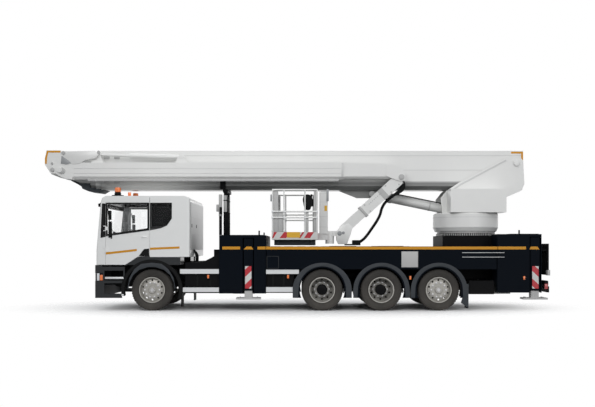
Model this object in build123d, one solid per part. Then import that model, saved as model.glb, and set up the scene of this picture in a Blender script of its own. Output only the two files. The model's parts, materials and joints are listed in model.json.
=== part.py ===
from build123d import *
import math
import os

os.makedirs("parts", exist_ok=True)

# Truck-mounted aerial work platform on a four-axle chassis.
# Millimetres. +X forward, +Y left, +Z up, origin on the ground below the middle.

# ---- driving dimensions ---------------------------------------------------
truck_width = 2550
tyre_radius = 480
tyre_width = 313
twin_spacing = 340
rim_radius = 286
disc_plate = 16
steered_disc_out = 104
hand_holes = 10
hand_hole_circle = 226
hand_hole_radius = 22
front_axle_x = 3240
drive_axle_xs = (-686, -2050)
tag_axle_x = -3375
kingpin_inset = 233.5
kingpin_radius = 25

frame_half_width = 430
frame_bottom = 700
frame_top = 1000
subframe_top = 1300
frame_rear_x = -5700
frame_front_x = 4300
coupling_x = -5945
tank_inset = 105
tank_inner_y = 520

deck_bottom = 1412
deck_top = 1486
skirt_bottom = 960
arch_radius = 625
arch_band = 110

cab_front_x = 4522
cab_rear_x = 2364
cab_inset = 25
cab_bottom = 1063
cab_top = 2650
cab_wall = 45
cab_front_round = 40
cab_rear_round = 60
hinge_barrel = 11
screen_margin = 120
seat_middle = 625
seat_width = 450
grille_half = 700
grille_rows = 5
grille_pitch = 74
grille_low = 1120
grille_slot = 44
lamp_low = 690
lamp_high = 874
lamp_width = 240
lamp_rear_x = 4358
lamp_recess = 6
bumper_front_x = 4551
bumper_round = 60
hinge_pin = 5
door_hinge_zs = (1400, 1900)
door_bottom = 1021
door_front_x = 4301
door_rear_x = 3290
front_arch_radius = 705

box_front_x = 1688
box_rear_x = 612
box_top = 1743
box_bottom = 400
rear_box_front_x = -4722
rear_box_rear_x = -5739
rear_box_top = 1770
beam_low = 1060
beam_height = 320
beam_width = 240
beam_wall = 14
leg_size = 210
leg_bottom = 465
foot_bottom = 262
foot_thickness = 40

slew_x = -4240
ring_radius = 709
ring_bottom = 1745
ring_top = 1810
ring_teeth = 84
tooth_depth = 26
drum_radius = 785
drum_bottom = 1853
drum_top = 2290

luff_pivot = (-5440, 3513)
luff_pin_radius = 55
base_pin_radius = 50
elbow_pin_radius = 60
jib_pin_radius = 45
cage_pin_radius = 32
boom_middle_y = -170
boom_width = 640
boom_bottom = 2870
boom_top = 3821
boom_rear_x = -5624
boom_front_x = 4700
boom_plate = 12
boom_gap = 16
boom_chamfer = 90

elbow_pivot = (5585, 3318)
upper_middle_y = 360
upper_width = 300
upper_bottom = 3095
upper_top = 3500
upper_front_x = 5330
upper_rear_x = -1230
upper_inner_rear_x = -2330
upper_chamfer = 60

jib_pivot = (-2605, 3150)
cage_pivot = (-1124, 1799)
jib_width = 240
jib_height = 270

cage_front_x = 485
cage_rear_x = -590
cage_half_width = 1000
cage_floor = 1642
cage_rail_top = 2829
cage_tube = 19

cylinder_radius = 115
rod_radius = 70
luff_rod_eye = (-1950, 2780)
luff_base_eye = (-4700, 2215)
rod_eye_half = 78

# ---- clearances -----------------------------------------------------------
running_gap = 6
fit_gap = 0.3
hinge_gap = 1
panel_gap = 5

steered_disc_in = steered_disc_out - disc_plate
half_width = truck_width / 2
wheel_z = tyre_radius
wheel_y = half_width - 35 - tyre_width / 2
kingpin_y = wheel_y - kingpin_inset
cab_half_width = half_width - cab_inset
sides = (("left", 1), ("right", -1))


# ---- shape helpers --------------------------------------------------------
def block(x, y, z):
    """Box between pairs of x, y and z."""
    spans = [sorted(pair) for pair in (x, y, z)]
    size = [high - low for low, high in spans]
    middle = [(high + low) / 2 for low, high in spans]
    return Pos(*middle) * Box(*size)


def side_plate(points, y_low, y_high):
    """Plate of an x, z outline, from y_low to y_high."""
    outline = Polyline(*[(x, y_low, z) for x, z in points], close=True)
    return extrude(make_face(outline), y_high - y_low, dir=(0, 1, 0))


def cross_plate(points, x_low, x_high):
    """Plate of a y, z outline, from x_low to x_high."""
    outline = Polyline(*[(x_low, y, z) for y, z in points], close=True)
    return extrude(make_face(outline), x_high - x_low, dir=(1, 0, 0))


def floor_plate(points, z_low, z_high):
    """Plate of an x, y outline, from z_low to z_high."""
    outline = Polyline(*[(x, y, z_low) for x, y in points], close=True)
    return extrude(make_face(outline), z_high - z_low, dir=(0, 0, 1))


def lateral_bar(x, z, radius, y_low, y_high):
    """Round bar across the truck."""
    bar = Cylinder(radius, y_high - y_low)
    return Pos(x, (y_low + y_high) / 2, z) * Rot(90, 0, 0) * bar


def upright(x, y, radius, z_low, z_high):
    """Round bar standing up."""
    return Pos(x, y, (z_low + z_high) / 2) * Cylinder(radius, z_high - z_low)


def bar(start, end, radius):
    """Round bar between two points."""
    line = Vector(*end) - Vector(*start)
    plane = Plane(origin=start, z_dir=line.normalized())
    return plane * Pos(0, 0, line.length / 2) * Cylinder(radius, line.length)


def turned(profile, x, y, z, side):
    """Revolve (radius, outward) points about the lateral line through x, z."""
    outline = Polyline(*[(x + r, y + side * out, z) for r, out in profile], close=True)
    return revolve(make_face(outline), Axis((x, y, z), (0, 1, 0)))


def chamfered_section(width, low, high, chamfer):
    """y, z outline of a boom section with its lower corners cut off."""
    half = width / 2
    return [
        (-half, high), (half, high), (half, low + chamfer),
        (half - chamfer, low), (chamfer - half, low), (-half, low + chamfer),
    ]


def box_tube(x_low, x_high, middle_y, width, low, high, chamfer, wall):
    """Open-ended boom section along X."""
    outer = chamfered_section(width, low, high, chamfer)
    inner = chamfered_section(width - 2 * wall, low + wall, high - wall, chamfer - wall / 2)
    tube = cross_plate(outer, x_low, x_high) - cross_plate(inner, x_low - 1, x_high + 1)
    return Pos(0, middle_y, 0) * tube


def wear_pads(x_low, x_high, middle_y, half, low, high, gap):
    """Slide pads on a section's floor and roof, a fit gap short of the next section."""
    span_y = (middle_y - half, middle_y + half)
    floor = block((x_low, x_high), span_y, (low - 1, low + gap - fit_gap))
    return floor + block((x_low, x_high), span_y, (high - gap + fit_gap, high + 1))


def both_sides(shape):
    """The shape and its mirror image across the truck's middle."""
    return shape + mirror(shape, Plane.XZ)


def save(name, shape):
    """Write one node."""
    export_step(shape, f"parts/{name}.step")


# ---- wheels ---------------------------------------------------------------
def tyre(x, y, side):
    half = tyre_width / 2
    profile = [
        (rim_radius, 114), (rim_radius + 16, 122), (rim_radius + 40, half - 6),
        (rim_radius + 95, half),
        (tyre_radius - 42, half - 4), (tyre_radius - 10, half - 22), (tyre_radius, half - 50),
        (tyre_radius, 50 - half), (tyre_radius - 10, 22 - half), (tyre_radius - 42, 4 - half),
        (rim_radius + 95, -half), (rim_radius + 40, 6 - half), (rim_radius + 16, -122),
        (rim_radius, -114),
    ]
    return turned(profile, x, y, wheel_z, side)


def disc_wheel(x, y, side, disc_out, disc_join, hub_out, hub_radius):
    """Rim and disc in one turned outline, with ten hand holes."""
    lip = tyre_width / 2 - 28
    wheel = turned([
        (0, hub_out), (hub_radius - 14, hub_out), (hub_radius, hub_out - 12),
        (hub_radius, disc_out), (175, disc_out), (rim_radius - 18, disc_join + 12),
        (rim_radius - 14, lip), (rim_radius - 10, lip + 12), (rim_radius + 12, lip + 12),
        (rim_radius + 12, lip + 2), (rim_radius, lip), (rim_radius, -lip),
        (rim_radius - 14, -lip), (rim_radius - 18, disc_join - 12), (165, disc_out - disc_plate),
        (0, disc_out - disc_plate),
    ], x, y, wheel_z, side)
    hole_out = (disc_out + disc_join) / 2
    hole_y = y + side * hole_out
    for index in range(hand_holes):
        angle = 2 * math.pi * (index + 0.5) / hand_holes
        hole_x = x + hand_hole_circle * math.cos(angle)
        hole_z = wheel_z + hand_hole_circle * math.sin(angle)
        wheel -= lateral_bar(hole_x, hole_z, hand_hole_radius, hole_y - 45, hole_y + 45)
    return wheel


wheel_rows = (  # name, x, steered or twin
    ("front", front_axle_x, "steered"),
    ("drive_1", drive_axle_xs[0], "twin"),
    ("drive_2", drive_axle_xs[1], "twin"),
    ("tag", tag_axle_x, "steered"),
)
for axle, x, kind in wheel_rows:
    for side_name, side in sides:
        outer_y = side * wheel_y
        if kind == "steered":
            tyres = tyre(x, outer_y, side)
            rims = disc_wheel(x, outer_y, side, steered_disc_out, 60, 140, 85)
        else:
            inner_y = side * (wheel_y - twin_spacing)
            twin_disc_out = disc_plate - twin_spacing / 2
            outer_wheel = disc_wheel(x, outer_y, side, twin_disc_out, -60, 55, 105)
            inner_wheel = disc_wheel(
                x, inner_y, -side, twin_disc_out, -60, twin_disc_out + disc_plate, 105
            )
            tyres = Compound([tyre(x, outer_y, side), tyre(x, inner_y, side)])
            rims = Compound([outer_wheel, inner_wheel])
        save(f"tyre_{axle}_{side_name}", tyres)
        save(f"rim_{axle}_{side_name}", rims)


# ---- axles and steering knuckles ------------------------------------------
def knuckle(x, side):
    """Kingpin and its fork, with the stub axle and brake drum."""
    shape = upright(x, side * kingpin_y, kingpin_radius, wheel_z - 95, wheel_z + 95)
    fork_in = side * (kingpin_y - 45)
    fork_out = side * (kingpin_y + 105)
    for low, high in ((-95, -60 - running_gap), (60 + running_gap, 95)):
        shape += block((x - 50, x + 50), (fork_in, fork_out), (wheel_z + low, wheel_z + high))
    shape += block(
        (x - 50, x + 50), (side * (kingpin_y + 70), fork_out), (wheel_z - 95, wheel_z + 95)
    )
    y_low, y_high = sorted((side * (kingpin_y + 80), side * (wheel_y + steered_disc_in - fit_gap)))
    shape += lateral_bar(x, wheel_z, 50, y_low, y_high)
    y_low, y_high = sorted((side * (kingpin_y + 104), side * (wheel_y + 40)))
    return shape + lateral_bar(x, wheel_z, 190, y_low, y_high)


for axle, x in (("front", front_axle_x), ("tag", tag_axle_x)):
    for side_name, side in sides:
        save(f"knuckle_{axle}_{side_name}", knuckle(x, side))

steer_beams = []
for x in (front_axle_x, tag_axle_x):
    beam = block((x - 50, x + 50), (-kingpin_y, kingpin_y), (wheel_z - 60, wheel_z + 60))
    for side_name, side in sides:
        beam += upright(x, side * kingpin_y, 52, wheel_z - 60, wheel_z + 60)
        beam -= upright(
            x, side * kingpin_y, kingpin_radius + fit_gap, wheel_z - 61, wheel_z + 61
        )
    steer_beams.append(beam)
drive_beams = []
for x in drive_axle_xs:
    reach = wheel_y - twin_spacing / 2 - 2 * disc_plate - fit_gap
    casing = lateral_bar(x, wheel_z, 75, -reach, reach)
    differential = Pos(x, 0, wheel_z) * Sphere(210)
    drive_beams.append(casing + differential)
springs = []
for x in (front_axle_x, *drive_axle_xs, tag_axle_x):
    for side_name, side in sides:
        y = side * (frame_half_width - 50)
        springs.append(block((x - 45, x + 45), (y - 40, y + 40), (wheel_z + 55, frame_bottom + 2)))
axle_set = steer_beams[0] + steer_beams[1] + drive_beams[0] + drive_beams[1]
for spring in springs:
    axle_set += spring
save("axles", axle_set)


# ---- chassis frame --------------------------------------------------------
rail_flange = 80
frame = None
for side_name, side in sides:
    web = block(
        (frame_rear_x, frame_front_x),
        (side * (frame_half_width - 10), side * frame_half_width),
        (frame_bottom + 2, frame_top),
    )
    low = block(
        (frame_rear_x, frame_front_x),
        (side * (frame_half_width - rail_flange), side * frame_half_width),
        (frame_bottom + 2, frame_bottom + 12),
    )
    high = Pos(0, 0, frame_top - frame_bottom - 12) * low
    rail = web + low + high
    frame = rail if frame is None else frame + rail
for x in (4200, 2100, 900, -300, -1368, -2712, -4100, -5600):
    frame += block(
        (x - 40, x + 40),
        (5 - frame_half_width, frame_half_width - 5),
        (frame_bottom + 20, frame_top - 10),
    )
for side_name, side in sides:
    frame += block(
        (4080, 4200), (side * (frame_half_width - rail_flange), side * frame_half_width),
        (frame_top, cab_bottom),
    )
subframe_front_x = 1900
frame += block(
    (frame_rear_x, subframe_front_x),
    (-frame_half_width, frame_half_width),
    (frame_top, frame_top + 40),
)
for side_name, side in sides:
    frame += block(
        (frame_rear_x, subframe_front_x),
        (side * (frame_half_width - 12), side * frame_half_width),
        (frame_top + 38, deck_bottom),
    )
pedestal_half = 680
frame += block(
    (slew_x - pedestal_half, slew_x + pedestal_half),
    (-pedestal_half, pedestal_half),
    (deck_top, ring_bottom),
)
frame += block(
    (slew_x - pedestal_half, slew_x + pedestal_half),
    (-frame_half_width, frame_half_width),
    (frame_top + 38, deck_top + 2),
)

teeth_core = Pos(slew_x, 0, (ring_bottom + ring_top) / 2) * Cylinder(
    ring_radius - tooth_depth, ring_top - ring_bottom
)
tooth_step = 2 * math.pi / ring_teeth
tooth_root = ring_radius - tooth_depth - 4
tooth_tip_half = ring_radius * tooth_step * 0.13
tooth_root_half = ring_radius * tooth_step * 0.31
tooth = floor_plate(
    [
        (slew_x + tooth_root, -tooth_root_half), (slew_x + ring_radius, -tooth_tip_half),
        (slew_x + ring_radius, tooth_tip_half), (slew_x + tooth_root, tooth_root_half),
    ],
    ring_bottom,
    ring_top - 12,
)
about_slew = [
    Pos(slew_x, 0, 0) * Rot(0, 0, 360 / ring_teeth * index) * Pos(-slew_x, 0, 0) * tooth
    for index in range(ring_teeth)
]
slewing_ring = teeth_core.fuse(*about_slew)
slewing_ring -= upright(slew_x, 0, 480, ring_bottom - 1, ring_top + 1)
save("slewing_ring", slewing_ring)

# ---- heavy blocks ---------------------------------------------------------
engine = block((2900, 4100), (-330, 330), (640, 1040))
engine -= block((front_axle_x - 70, front_axle_x + 70), (-331, 331), (0, 660))
for side_name, side in sides:
    engine += block((3550, 3650), (side * 330, side * (frame_half_width - 10)), (800, 850))
gearbox = block((2200, 2902), (-240, 240), (600, 960))

tank_rows = (  # x, z outline of a tank or battery box, y outer
    (
        [(1700, 405), (2480, 405), (2480, 1110), (2060, 1130), (1850, 1240), (1700, 1330)],
        half_width - tank_inset,
    ),
    ([(-30, 410), (606, 410), (606, 955), (-30, 955)], half_width - tank_inset),
    ([(-4660, 380), (-4085, 380), (-4085, 690), (-4660, 690)], half_width - 95),
)
heavy = [engine + gearbox]
for outline, outer_y in tank_rows:
    middle = (outline[0][0] + outline[1][0]) / 2
    hanger_z = min(frame_bottom + 100, outline[2][1] - 50)
    for side_name, side in sides:
        hanger = block(
            (middle - 20, middle + 20), (side * frame_half_width, side * (tank_inner_y + 10)),
            (hanger_z, hanger_z + 80),
        )
        tank = side_plate(outline, *sorted((side * tank_inner_y, side * outer_y)))
        heavy.append(tank + hanger)
save("powertrain_tanks", Compound(heavy))


# ---- deck, side skirts, outrigger boxes -----------------------------------
deck_half = half_width - 5
deck = block((rear_box_front_x, box_rear_x), (-deck_half, deck_half), (deck_bottom, deck_top))
deck -= block(
    (slew_x - pedestal_half, slew_x + pedestal_half),
    (-frame_half_width - 1, frame_half_width + 1),
    (deck_bottom - 1, deck_top + 1),
)

front_leg_xs = {"left": 1017, "right": 1283}
rear_leg_xs = {"left": -5596, "right": -5330}
beam_high = beam_low + beam_height
beam_inner = half_width - 275


def outrigger_box(x_low, x_high, top, bottom, leg_xs):
    """Cross box with a slot for the beam of each side."""
    slab = block((x_low, x_high), (-half_width + 25, half_width - 25), (bottom, top))
    for side_name, side in sides:
        leg_x = leg_xs[side_name]
        slot_half = beam_width / 2 + running_gap
        slab -= block(
            (leg_x - slot_half, leg_x + slot_half),
            (-side * (beam_inner + running_gap), side * (half_width + 1)),
            (beam_low - fit_gap, beam_high + running_gap),
        )
        bay_half = leg_size / 2 + 26
        slab -= block(
            (leg_x - bay_half, leg_x + bay_half),
            (side * (half_width - 330), side * (half_width + 1)),
            (bottom - 1, top - 60),
        )
    return slab


boxes = outrigger_box(box_rear_x, box_front_x, box_top, box_bottom, front_leg_xs)
boxes -= block(
    (box_rear_x - 1, box_front_x + 1),
    (-frame_half_width - 2, frame_half_width + 2),
    (0, deck_bottom + 2),
)
rear_boxes = outrigger_box(rear_box_rear_x, rear_box_front_x, rear_box_top, 420, rear_leg_xs)
rear_boxes -= block(
    (rear_box_rear_x - 1, rear_box_front_x + 1),
    (-frame_half_width - 2, frame_half_width + 2),
    (0, deck_top + 2),
)
rear_boxes -= block(
    (slew_x - pedestal_half, slew_x),
    (-pedestal_half, pedestal_half),
    (0, rear_box_top + 1),
)
rear_boxes -= upright(slew_x, 0, ring_radius + 40, deck_top, rear_box_top + 1)
save("deck", deck)
save("outrigger_boxes", Compound([boxes, rear_boxes]))

for leg_xs in (front_leg_xs, rear_leg_xs):
    for side_name, side in sides:
        slot_half = beam_width / 2 + running_gap
        frame -= block(
            (leg_xs[side_name] - slot_half, leg_xs[side_name] + slot_half),
            (-frame_half_width - 1, frame_half_width + 1),
            (beam_low - fit_gap, beam_high + running_gap),
        )
save("chassis_frame", frame)

arch_rows = (  # wheel x, skirt x rear, skirt x front
    (drive_axle_xs[0], -1368, 600),
    (drive_axle_xs[1], -2712, -1368),
    (tag_axle_x, -4700, -2712),
)
skirt_out = half_width - 12
skirt_in = skirt_out - 30
skirt = block((-4700, 595), (skirt_in, skirt_out), (skirt_bottom, deck_bottom))
mudguards = None
for x, rear, front in arch_rows:
    wheel_space = lateral_bar(x, wheel_z, arch_radius - 2, 500, half_width + 1)
    skirt -= wheel_space
    band = lateral_bar(x, wheel_z, arch_radius, wheel_y - 500, half_width - 8)
    band -= lateral_bar(x, wheel_z, arch_radius - 14, wheel_y - 501, half_width + 1)
    lip = lateral_bar(x, wheel_z, arch_radius, half_width - 22, half_width - 8)
    lip -= lateral_bar(x, wheel_z, arch_radius - arch_band, half_width - 24, half_width + 1)
    guard = band + lip
    guard -= block((x - 800, x + 800), (0, half_width + 2), (-400, 300))
    mudguards = guard if mudguards is None else mudguards + guard
save("side_skirts", both_sides(skirt + mudguards))

side_rail_rows = (  # x low, x high, z low, z high, x of its stubs
    (1695, 2590, 856, 962, (1780, 2400)),
    (1695, 2525, 435, 538, (1780, 2400)),
    (-150, 606, 851, 950, (60, 520)),
    (-5, 606, 435, 547, (60, 520)),
)
side_rails = None
for x_low, x_high, z_low, z_high, stub_xs in side_rail_rows:
    rail = block((x_low, x_high), (half_width - 60, half_width - 35), (z_low, z_high))
    for x in stub_xs:
        rail += block(
            (x - 25, x + 25), (half_width - tank_inset + fit_gap, half_width - 58),
            (z_low + 25, z_high - 25),
        )
    side_rails = rail if side_rails is None else side_rails + rail
save("side_rails", both_sides(side_rails))

panel_half = half_width - 75
rail_half = half_width - 125
rear_panel = block((-5923, -5893), (-panel_half, panel_half), (821, 1550))
rear_panel += block((coupling_x, -5900), (-rail_half, rail_half), (420, 560))
for side_name, side in sides:
    rear_panel += block(
        (-5930, frame_rear_x), (side * (frame_half_width - 90), side * (frame_half_width - 10)),
        (480, 900),
    )
rear_panel += block((-5895, rear_box_rear_x), (-rail_half, rail_half), (1380, 1412))
rear_panel += block((-5930, -5890), (-frame_half_width, frame_half_width), (600, 780))
jaw = block((coupling_x, -5929), (-90, 90), (620, 760))
jaw -= block((coupling_x - 1, -5931), (-91, 91), (665, 715))
rear_panel += jaw
save("rear_panel", rear_panel)


# ---- cab ------------------------------------------------------------------
cab_outline = [
    (cab_front_x, cab_bottom), (cab_front_x, 1380), (4505, 1600), (4425, 2500),
    (4395, 2600), (4300, cab_top), (2500, cab_top), (2410, 2620), (cab_rear_x, 2540),
    (cab_rear_x, 1247), (2600, 1247), (2600, cab_bottom),
]
cab_floor_z = front_arch_radius + wheel_z + cab_wall + 5
cab_inside = [
    (cab_front_x - cab_wall, cab_bottom + cab_wall), (cab_front_x - cab_wall, 1375),
    (4458, 1600), (4380, 2490), (4352, 2570), (4280, cab_top - cab_wall),
    (2510, cab_top - cab_wall), (2440, 2580), (cab_rear_x + cab_wall, 2520),
    (cab_rear_x + cab_wall, cab_floor_z), (3960, cab_floor_z), (4010, cab_bottom + cab_wall),
]
inside_half = cab_half_width - cab_wall
cab = side_plate(cab_outline, -cab_half_width, cab_half_width)
front_corners = [
    edge for edge in cab.edges()
    if abs(edge.center().Y) > cab_half_width - 1 and edge.center().X > cab_front_x - 140
]
cab = fillet(front_corners, cab_front_round)
rear_corners = [
    edge for edge in cab.edges().filter_by(Axis.Z)
    if abs(edge.center().Y) > cab_half_width - 1 and edge.center().X < cab_rear_x + 1
]
cab = fillet(rear_corners, cab_rear_round)
cab -= side_plate(cab_inside, -inside_half, inside_half)
front_arch = lateral_bar(front_axle_x, wheel_z, front_arch_radius, -1300, 1300)
cab -= front_arch
cab -= block((2000, 4000), (-560, 560), (0, cab_floor_z - 8))

door_main = [
    (door_front_x, door_bottom + 42), (door_front_x, 2500), (door_rear_x, 2500),
    (door_rear_x, 1290), (3567, 1247), (3855, door_bottom + 42),
]
door_opening = [
    (door_front_x + panel_gap, cab_bottom - 1), (door_front_x + panel_gap, 2505),
    (door_rear_x - panel_gap, 2505), (door_rear_x - panel_gap, 1287),
    (3564, 1241), (3851, cab_bottom - 1),
]
door_window = [
    (4262, 1772), (4262, 2455), (3340, 2455), (3340, 1915), (3360, 1900),
]
rear_window = [(3250, 1945), (3250, 2455), (2800, 2455), (2800, 2150), (2905, 1985), (3040, 1945)]
screen_low = 1680
screen_high = 2480
screen_half = cab_half_width - screen_margin
cab -= block((4300, 4600), (-screen_half, screen_half), (screen_low, screen_high))
for row in range(grille_rows):
    slot_low = grille_low + row * grille_pitch
    cab -= block(
        (cab_front_x - cab_wall - 25, cab_front_x + 1), (-grille_half, grille_half),
        (slot_low, slot_low + grille_slot),
    )
for side_name, side in sides:
    low, high = sorted((side * (inside_half - 30), side * (cab_half_width + 1)))
    cab -= side_plate(door_opening, low, high)
    cab -= side_plate(rear_window, low, high)
    out_low, out_high = sorted((side * (inside_half + 2), side * cab_half_width))
    door = side_plate(door_main, out_low, out_high)
    door -= side_plate(door_window, low, high)
    door -= lateral_bar(front_axle_x, wheel_z, front_arch_radius, -1300, 1300)
    for hinge_z in door_hinge_zs:
        hinge_y = side * (cab_half_width + hinge_barrel)
        leaf_y = (side * cab_half_width, side * (cab_half_width + hinge_barrel))
        leaf_x = (door_front_x - 60, door_front_x)
        door += block(leaf_x, leaf_y, (hinge_z - 40, hinge_z + 40))
        door += upright(door_front_x, hinge_y, hinge_barrel, hinge_z - 40, hinge_z + 40)
        door -= upright(door_front_x, hinge_y, hinge_pin + hinge_gap, hinge_z - 41, hinge_z + 41)
        cab += upright(door_front_x, hinge_y, hinge_pin, hinge_z - 60, hinge_z + 60)
        for low in (hinge_z - 62, hinge_z + 44):
            cab += upright(door_front_x, hinge_y, hinge_barrel - 3, low, low + 18)
            leaf_x = (door_front_x + panel_gap, door_front_x + 50)
            cab += block(leaf_x, leaf_y, (low, low + 18))
    save(f"door_{side_name}", door)
    glass_y = sorted((side * (inside_half + 12), side * (inside_half + 22)))
    save(f"door_glass_{side_name}", side_plate(door_window, *glass_y))
save("cab_shell", cab)

screen = [(4475, screen_low), (4405, screen_high), (4395, screen_high), (4465, screen_low)]
glass = side_plate(screen, -screen_half, screen_half)
for side_name, side in sides:
    glass_y = sorted((side * (inside_half + 12), side * (inside_half + 22)))
    glass += side_plate(rear_window, *glass_y)
save("cab_glass", glass)

seats = None
for side_name, side in sides:
    in_y = side * (seat_middle - seat_width / 2)
    out_y = side * (seat_middle + seat_width / 2)
    seat = block((3350, 3850), (in_y, out_y), (1450, 1560))
    seat += side_plate(
        [(3290, 1500), (3410, 1500), (3370, 2060), (3330, 2250), (3270, 2250), (3250, 2060)],
        *sorted((in_y, out_y)),
    )
    seat += block((3450, 3750), (in_y + side * 100, out_y - side * 100), (cab_floor_z, 1460))
    seats = seat if seats is None else seats + seat
dash_half = inside_half - 55
dash = side_plate(
    [(4150, 1380), (4190, 1350), (4400, 1350), (4400, 1620), (4230, 1650), (4150, 1580)],
    -dash_half, dash_half,
)
dash += block((4390, cab_front_x - cab_wall), (-600, 600), (1350, 1370))
dash += bar((4100, seat_middle, 1700), (4200, seat_middle, 1560), 30)
dash += Pos(4095, seat_middle, 1706) * Rot(0, -35, 0) * Torus(210, 16)
dash += Pos(4095, seat_middle, 1706) * Rot(0, -35, 0) * Box(400, 50, 20)
bunk = block((2430, 2980), (-dash_half, dash_half), (cab_floor_z, 1500))
save("cab_interior", seats + dash + bunk)

visor = side_plate(
    [(4425.7, 2496), (4427.9, 2472), (4470, 2400), (4488, 2403), (4495, 2470)], 70 - cab_half_width, cab_half_width - 70
)
beacons = None
for side_name, side in sides:
    beacon_y = side * (cab_half_width - 270)
    beacon = upright(4085, beacon_y, 140, cab_top, cab_top + 30)
    beacon += upright(4085, beacon_y, 68, cab_top + 28, cab_top + 205)
    beacons = beacon if beacons is None else beacons + beacon
fender = None
for side_name, side in sides:
    span_y = sorted((side * (cab_half_width - 320), side * (cab_half_width + 10)))
    arc = lateral_bar(front_axle_x, wheel_z, front_arch_radius - fit_gap, *span_y)
    arc -= lateral_bar(front_axle_x, wheel_z, front_arch_radius - 25, span_y[0] - 1, span_y[1] + 1)
    lip_y = sorted((side * (cab_half_width - 20), side * (cab_half_width + 10)))
    lip = lateral_bar(front_axle_x, wheel_z, front_arch_radius - fit_gap, *lip_y)
    lip -= lateral_bar(front_axle_x, wheel_z, front_arch_radius - 75, lip_y[0] - 1, lip_y[1] + 1)
    arc += lip
    arc -= block((front_axle_x, 4400), (span_y[0] - 2, span_y[1] + 2), (-300, 345))
    arc -= block((2000, front_axle_x), (span_y[0] - 2, span_y[1] + 2), (-300, 276))
    flap = block((2545, 2572), (side * (cab_half_width - 320), side * (cab_half_width - 30)), (97, 400))
    stay = block((2490, 2600), (side * frame_half_width, side * (cab_half_width - 290)), (620, 660))
    arc += flap + stay
    fender = arc if fender is None else fender + arc

shell = block((4380, bumper_front_x), (-half_width, half_width), (299, 1055))
shell_corners = [
    edge for edge in shell.edges().filter_by(Axis.Z) if edge.center().X > bumper_front_x - 1
]
shell = fillet(shell_corners, bumper_round)
bumper = shell - block((4300, 4515), (45 - half_width, half_width - 45), (250, 1100))
lamps = None
for side_name, side in sides:
    flank = block((3860, 4390), (side * (half_width - 45), side * half_width), (299, 1015))
    tread_y = (side * (half_width - 265), side * (half_width - 40))
    flank += block((3900, 4350), tread_y, (345, 385))
    flank += block((3900, 4350), tread_y, (736, 782))
    flank -= block((3890, 4330), (side * (half_width - 46), side * (half_width + 1)), (400, 640))
    flank -= block((3890, 4330), (side * (half_width - 46), side * (half_width + 1)), (700, 930))
    flank -= lateral_bar(front_axle_x, wheel_z, front_arch_radius, -half_width, half_width)
    bumper += flank
    bumper += block((frame_front_x, 4530), (side * 360, side * 420), (560, 900))
for side_name, side in sides:
    lamp_in = side * (half_width - lamp_width)
    bumper -= block(
        (lamp_rear_x, bumper_front_x + 1), (lamp_in, side * (half_width + 1)), (lamp_low, lamp_high)
    )
    lamp = block(
        (lamp_rear_x + fit_gap, bumper_front_x - lamp_recess),
        (lamp_in + side * fit_gap, side * (half_width - lamp_recess)),
        (lamp_low + fit_gap, lamp_high - fit_gap),
    )
    lamp_corner = [
        edge for edge in lamp.edges().filter_by(Axis.Z)
        if edge.center().X > bumper_front_x - lamp_recess - 1
        and abs(edge.center().Y) > half_width - lamp_recess - 1
    ]
    lamp = fillet(lamp_corner, bumper_round - lamp_recess)
    lamps = lamp if lamps is None else lamps + lamp
save("cab_fittings", visor + beacons + fender + lamps)
save("bumper_steps", bumper)


# ---- outrigger beams and jacks --------------------------------------------
stations = (("front", front_leg_xs, box_top), ("rear", rear_leg_xs, rear_box_top))
leg_y = half_width - 45 - leg_size / 2
leg_wall = 16
for station, leg_xs, station_top in stations:
    leg_top = station_top - 75
    for side_name, side in sides:
        x = leg_xs[side_name]
        half = beam_width / 2
        beam = block(
            (x - half, x + half), (-side * beam_inner, side * (leg_y - 60)), (beam_low, beam_high)
        )
        beam -= block(
            (x - half + beam_wall, x + half - beam_wall), (-side * (beam_inner + 1), side * (leg_y - 130)),
            (beam_low + beam_wall, beam_high - beam_wall),
        )
        leg_half = leg_size / 2
        leg = block(
            (x - leg_half, x + leg_half), (side * leg_y - leg_half, side * leg_y + leg_half),
            (leg_bottom, leg_top),
        )
        beam += leg
        inner_half = leg_half - leg_wall
        beam -= block(
            (x - inner_half, x + inner_half),
            (side * leg_y - inner_half, side * leg_y + inner_half), (leg_bottom - 1, leg_top - 30),
        )
        beam += block(
            (x - 75, x + 75), (side * (leg_y + leg_half - 1), side * (half_width - 25)), (534, 1033)
        )
        save(f"beam_{station}_{side_name}", beam)
        ram_half = inner_half - fit_gap
        jack = block(
            (x - ram_half, x + ram_half),
            (side * leg_y - ram_half, side * leg_y + ram_half),
            (foot_bottom + foot_thickness - 1, leg_top - 60),
        )
        jack += block(
            (x - 280, x + 280), (side * leg_y - 150, side * leg_y + 150),
            (foot_bottom, foot_bottom + foot_thickness),
        )
        save(f"jack_{station}_{side_name}", jack)

# ---- boom rest ------------------------------------------------------------
rest_top = boom_bottom - 8
rest_x = box_front_x - 58
rest = None
for side_name, side in sides:
    post = upright(rest_x, side * 300, 45, box_top, rest_top - 60)
    post += upright(rest_x, side * 300, 56, box_top, box_top + 20)
    rest = post if rest is None else rest + post
rest += block((rest_x - 60, rest_x + 60), (-560, 380), (rest_top - 70, rest_top))
save("boom_rest", rest)

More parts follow.
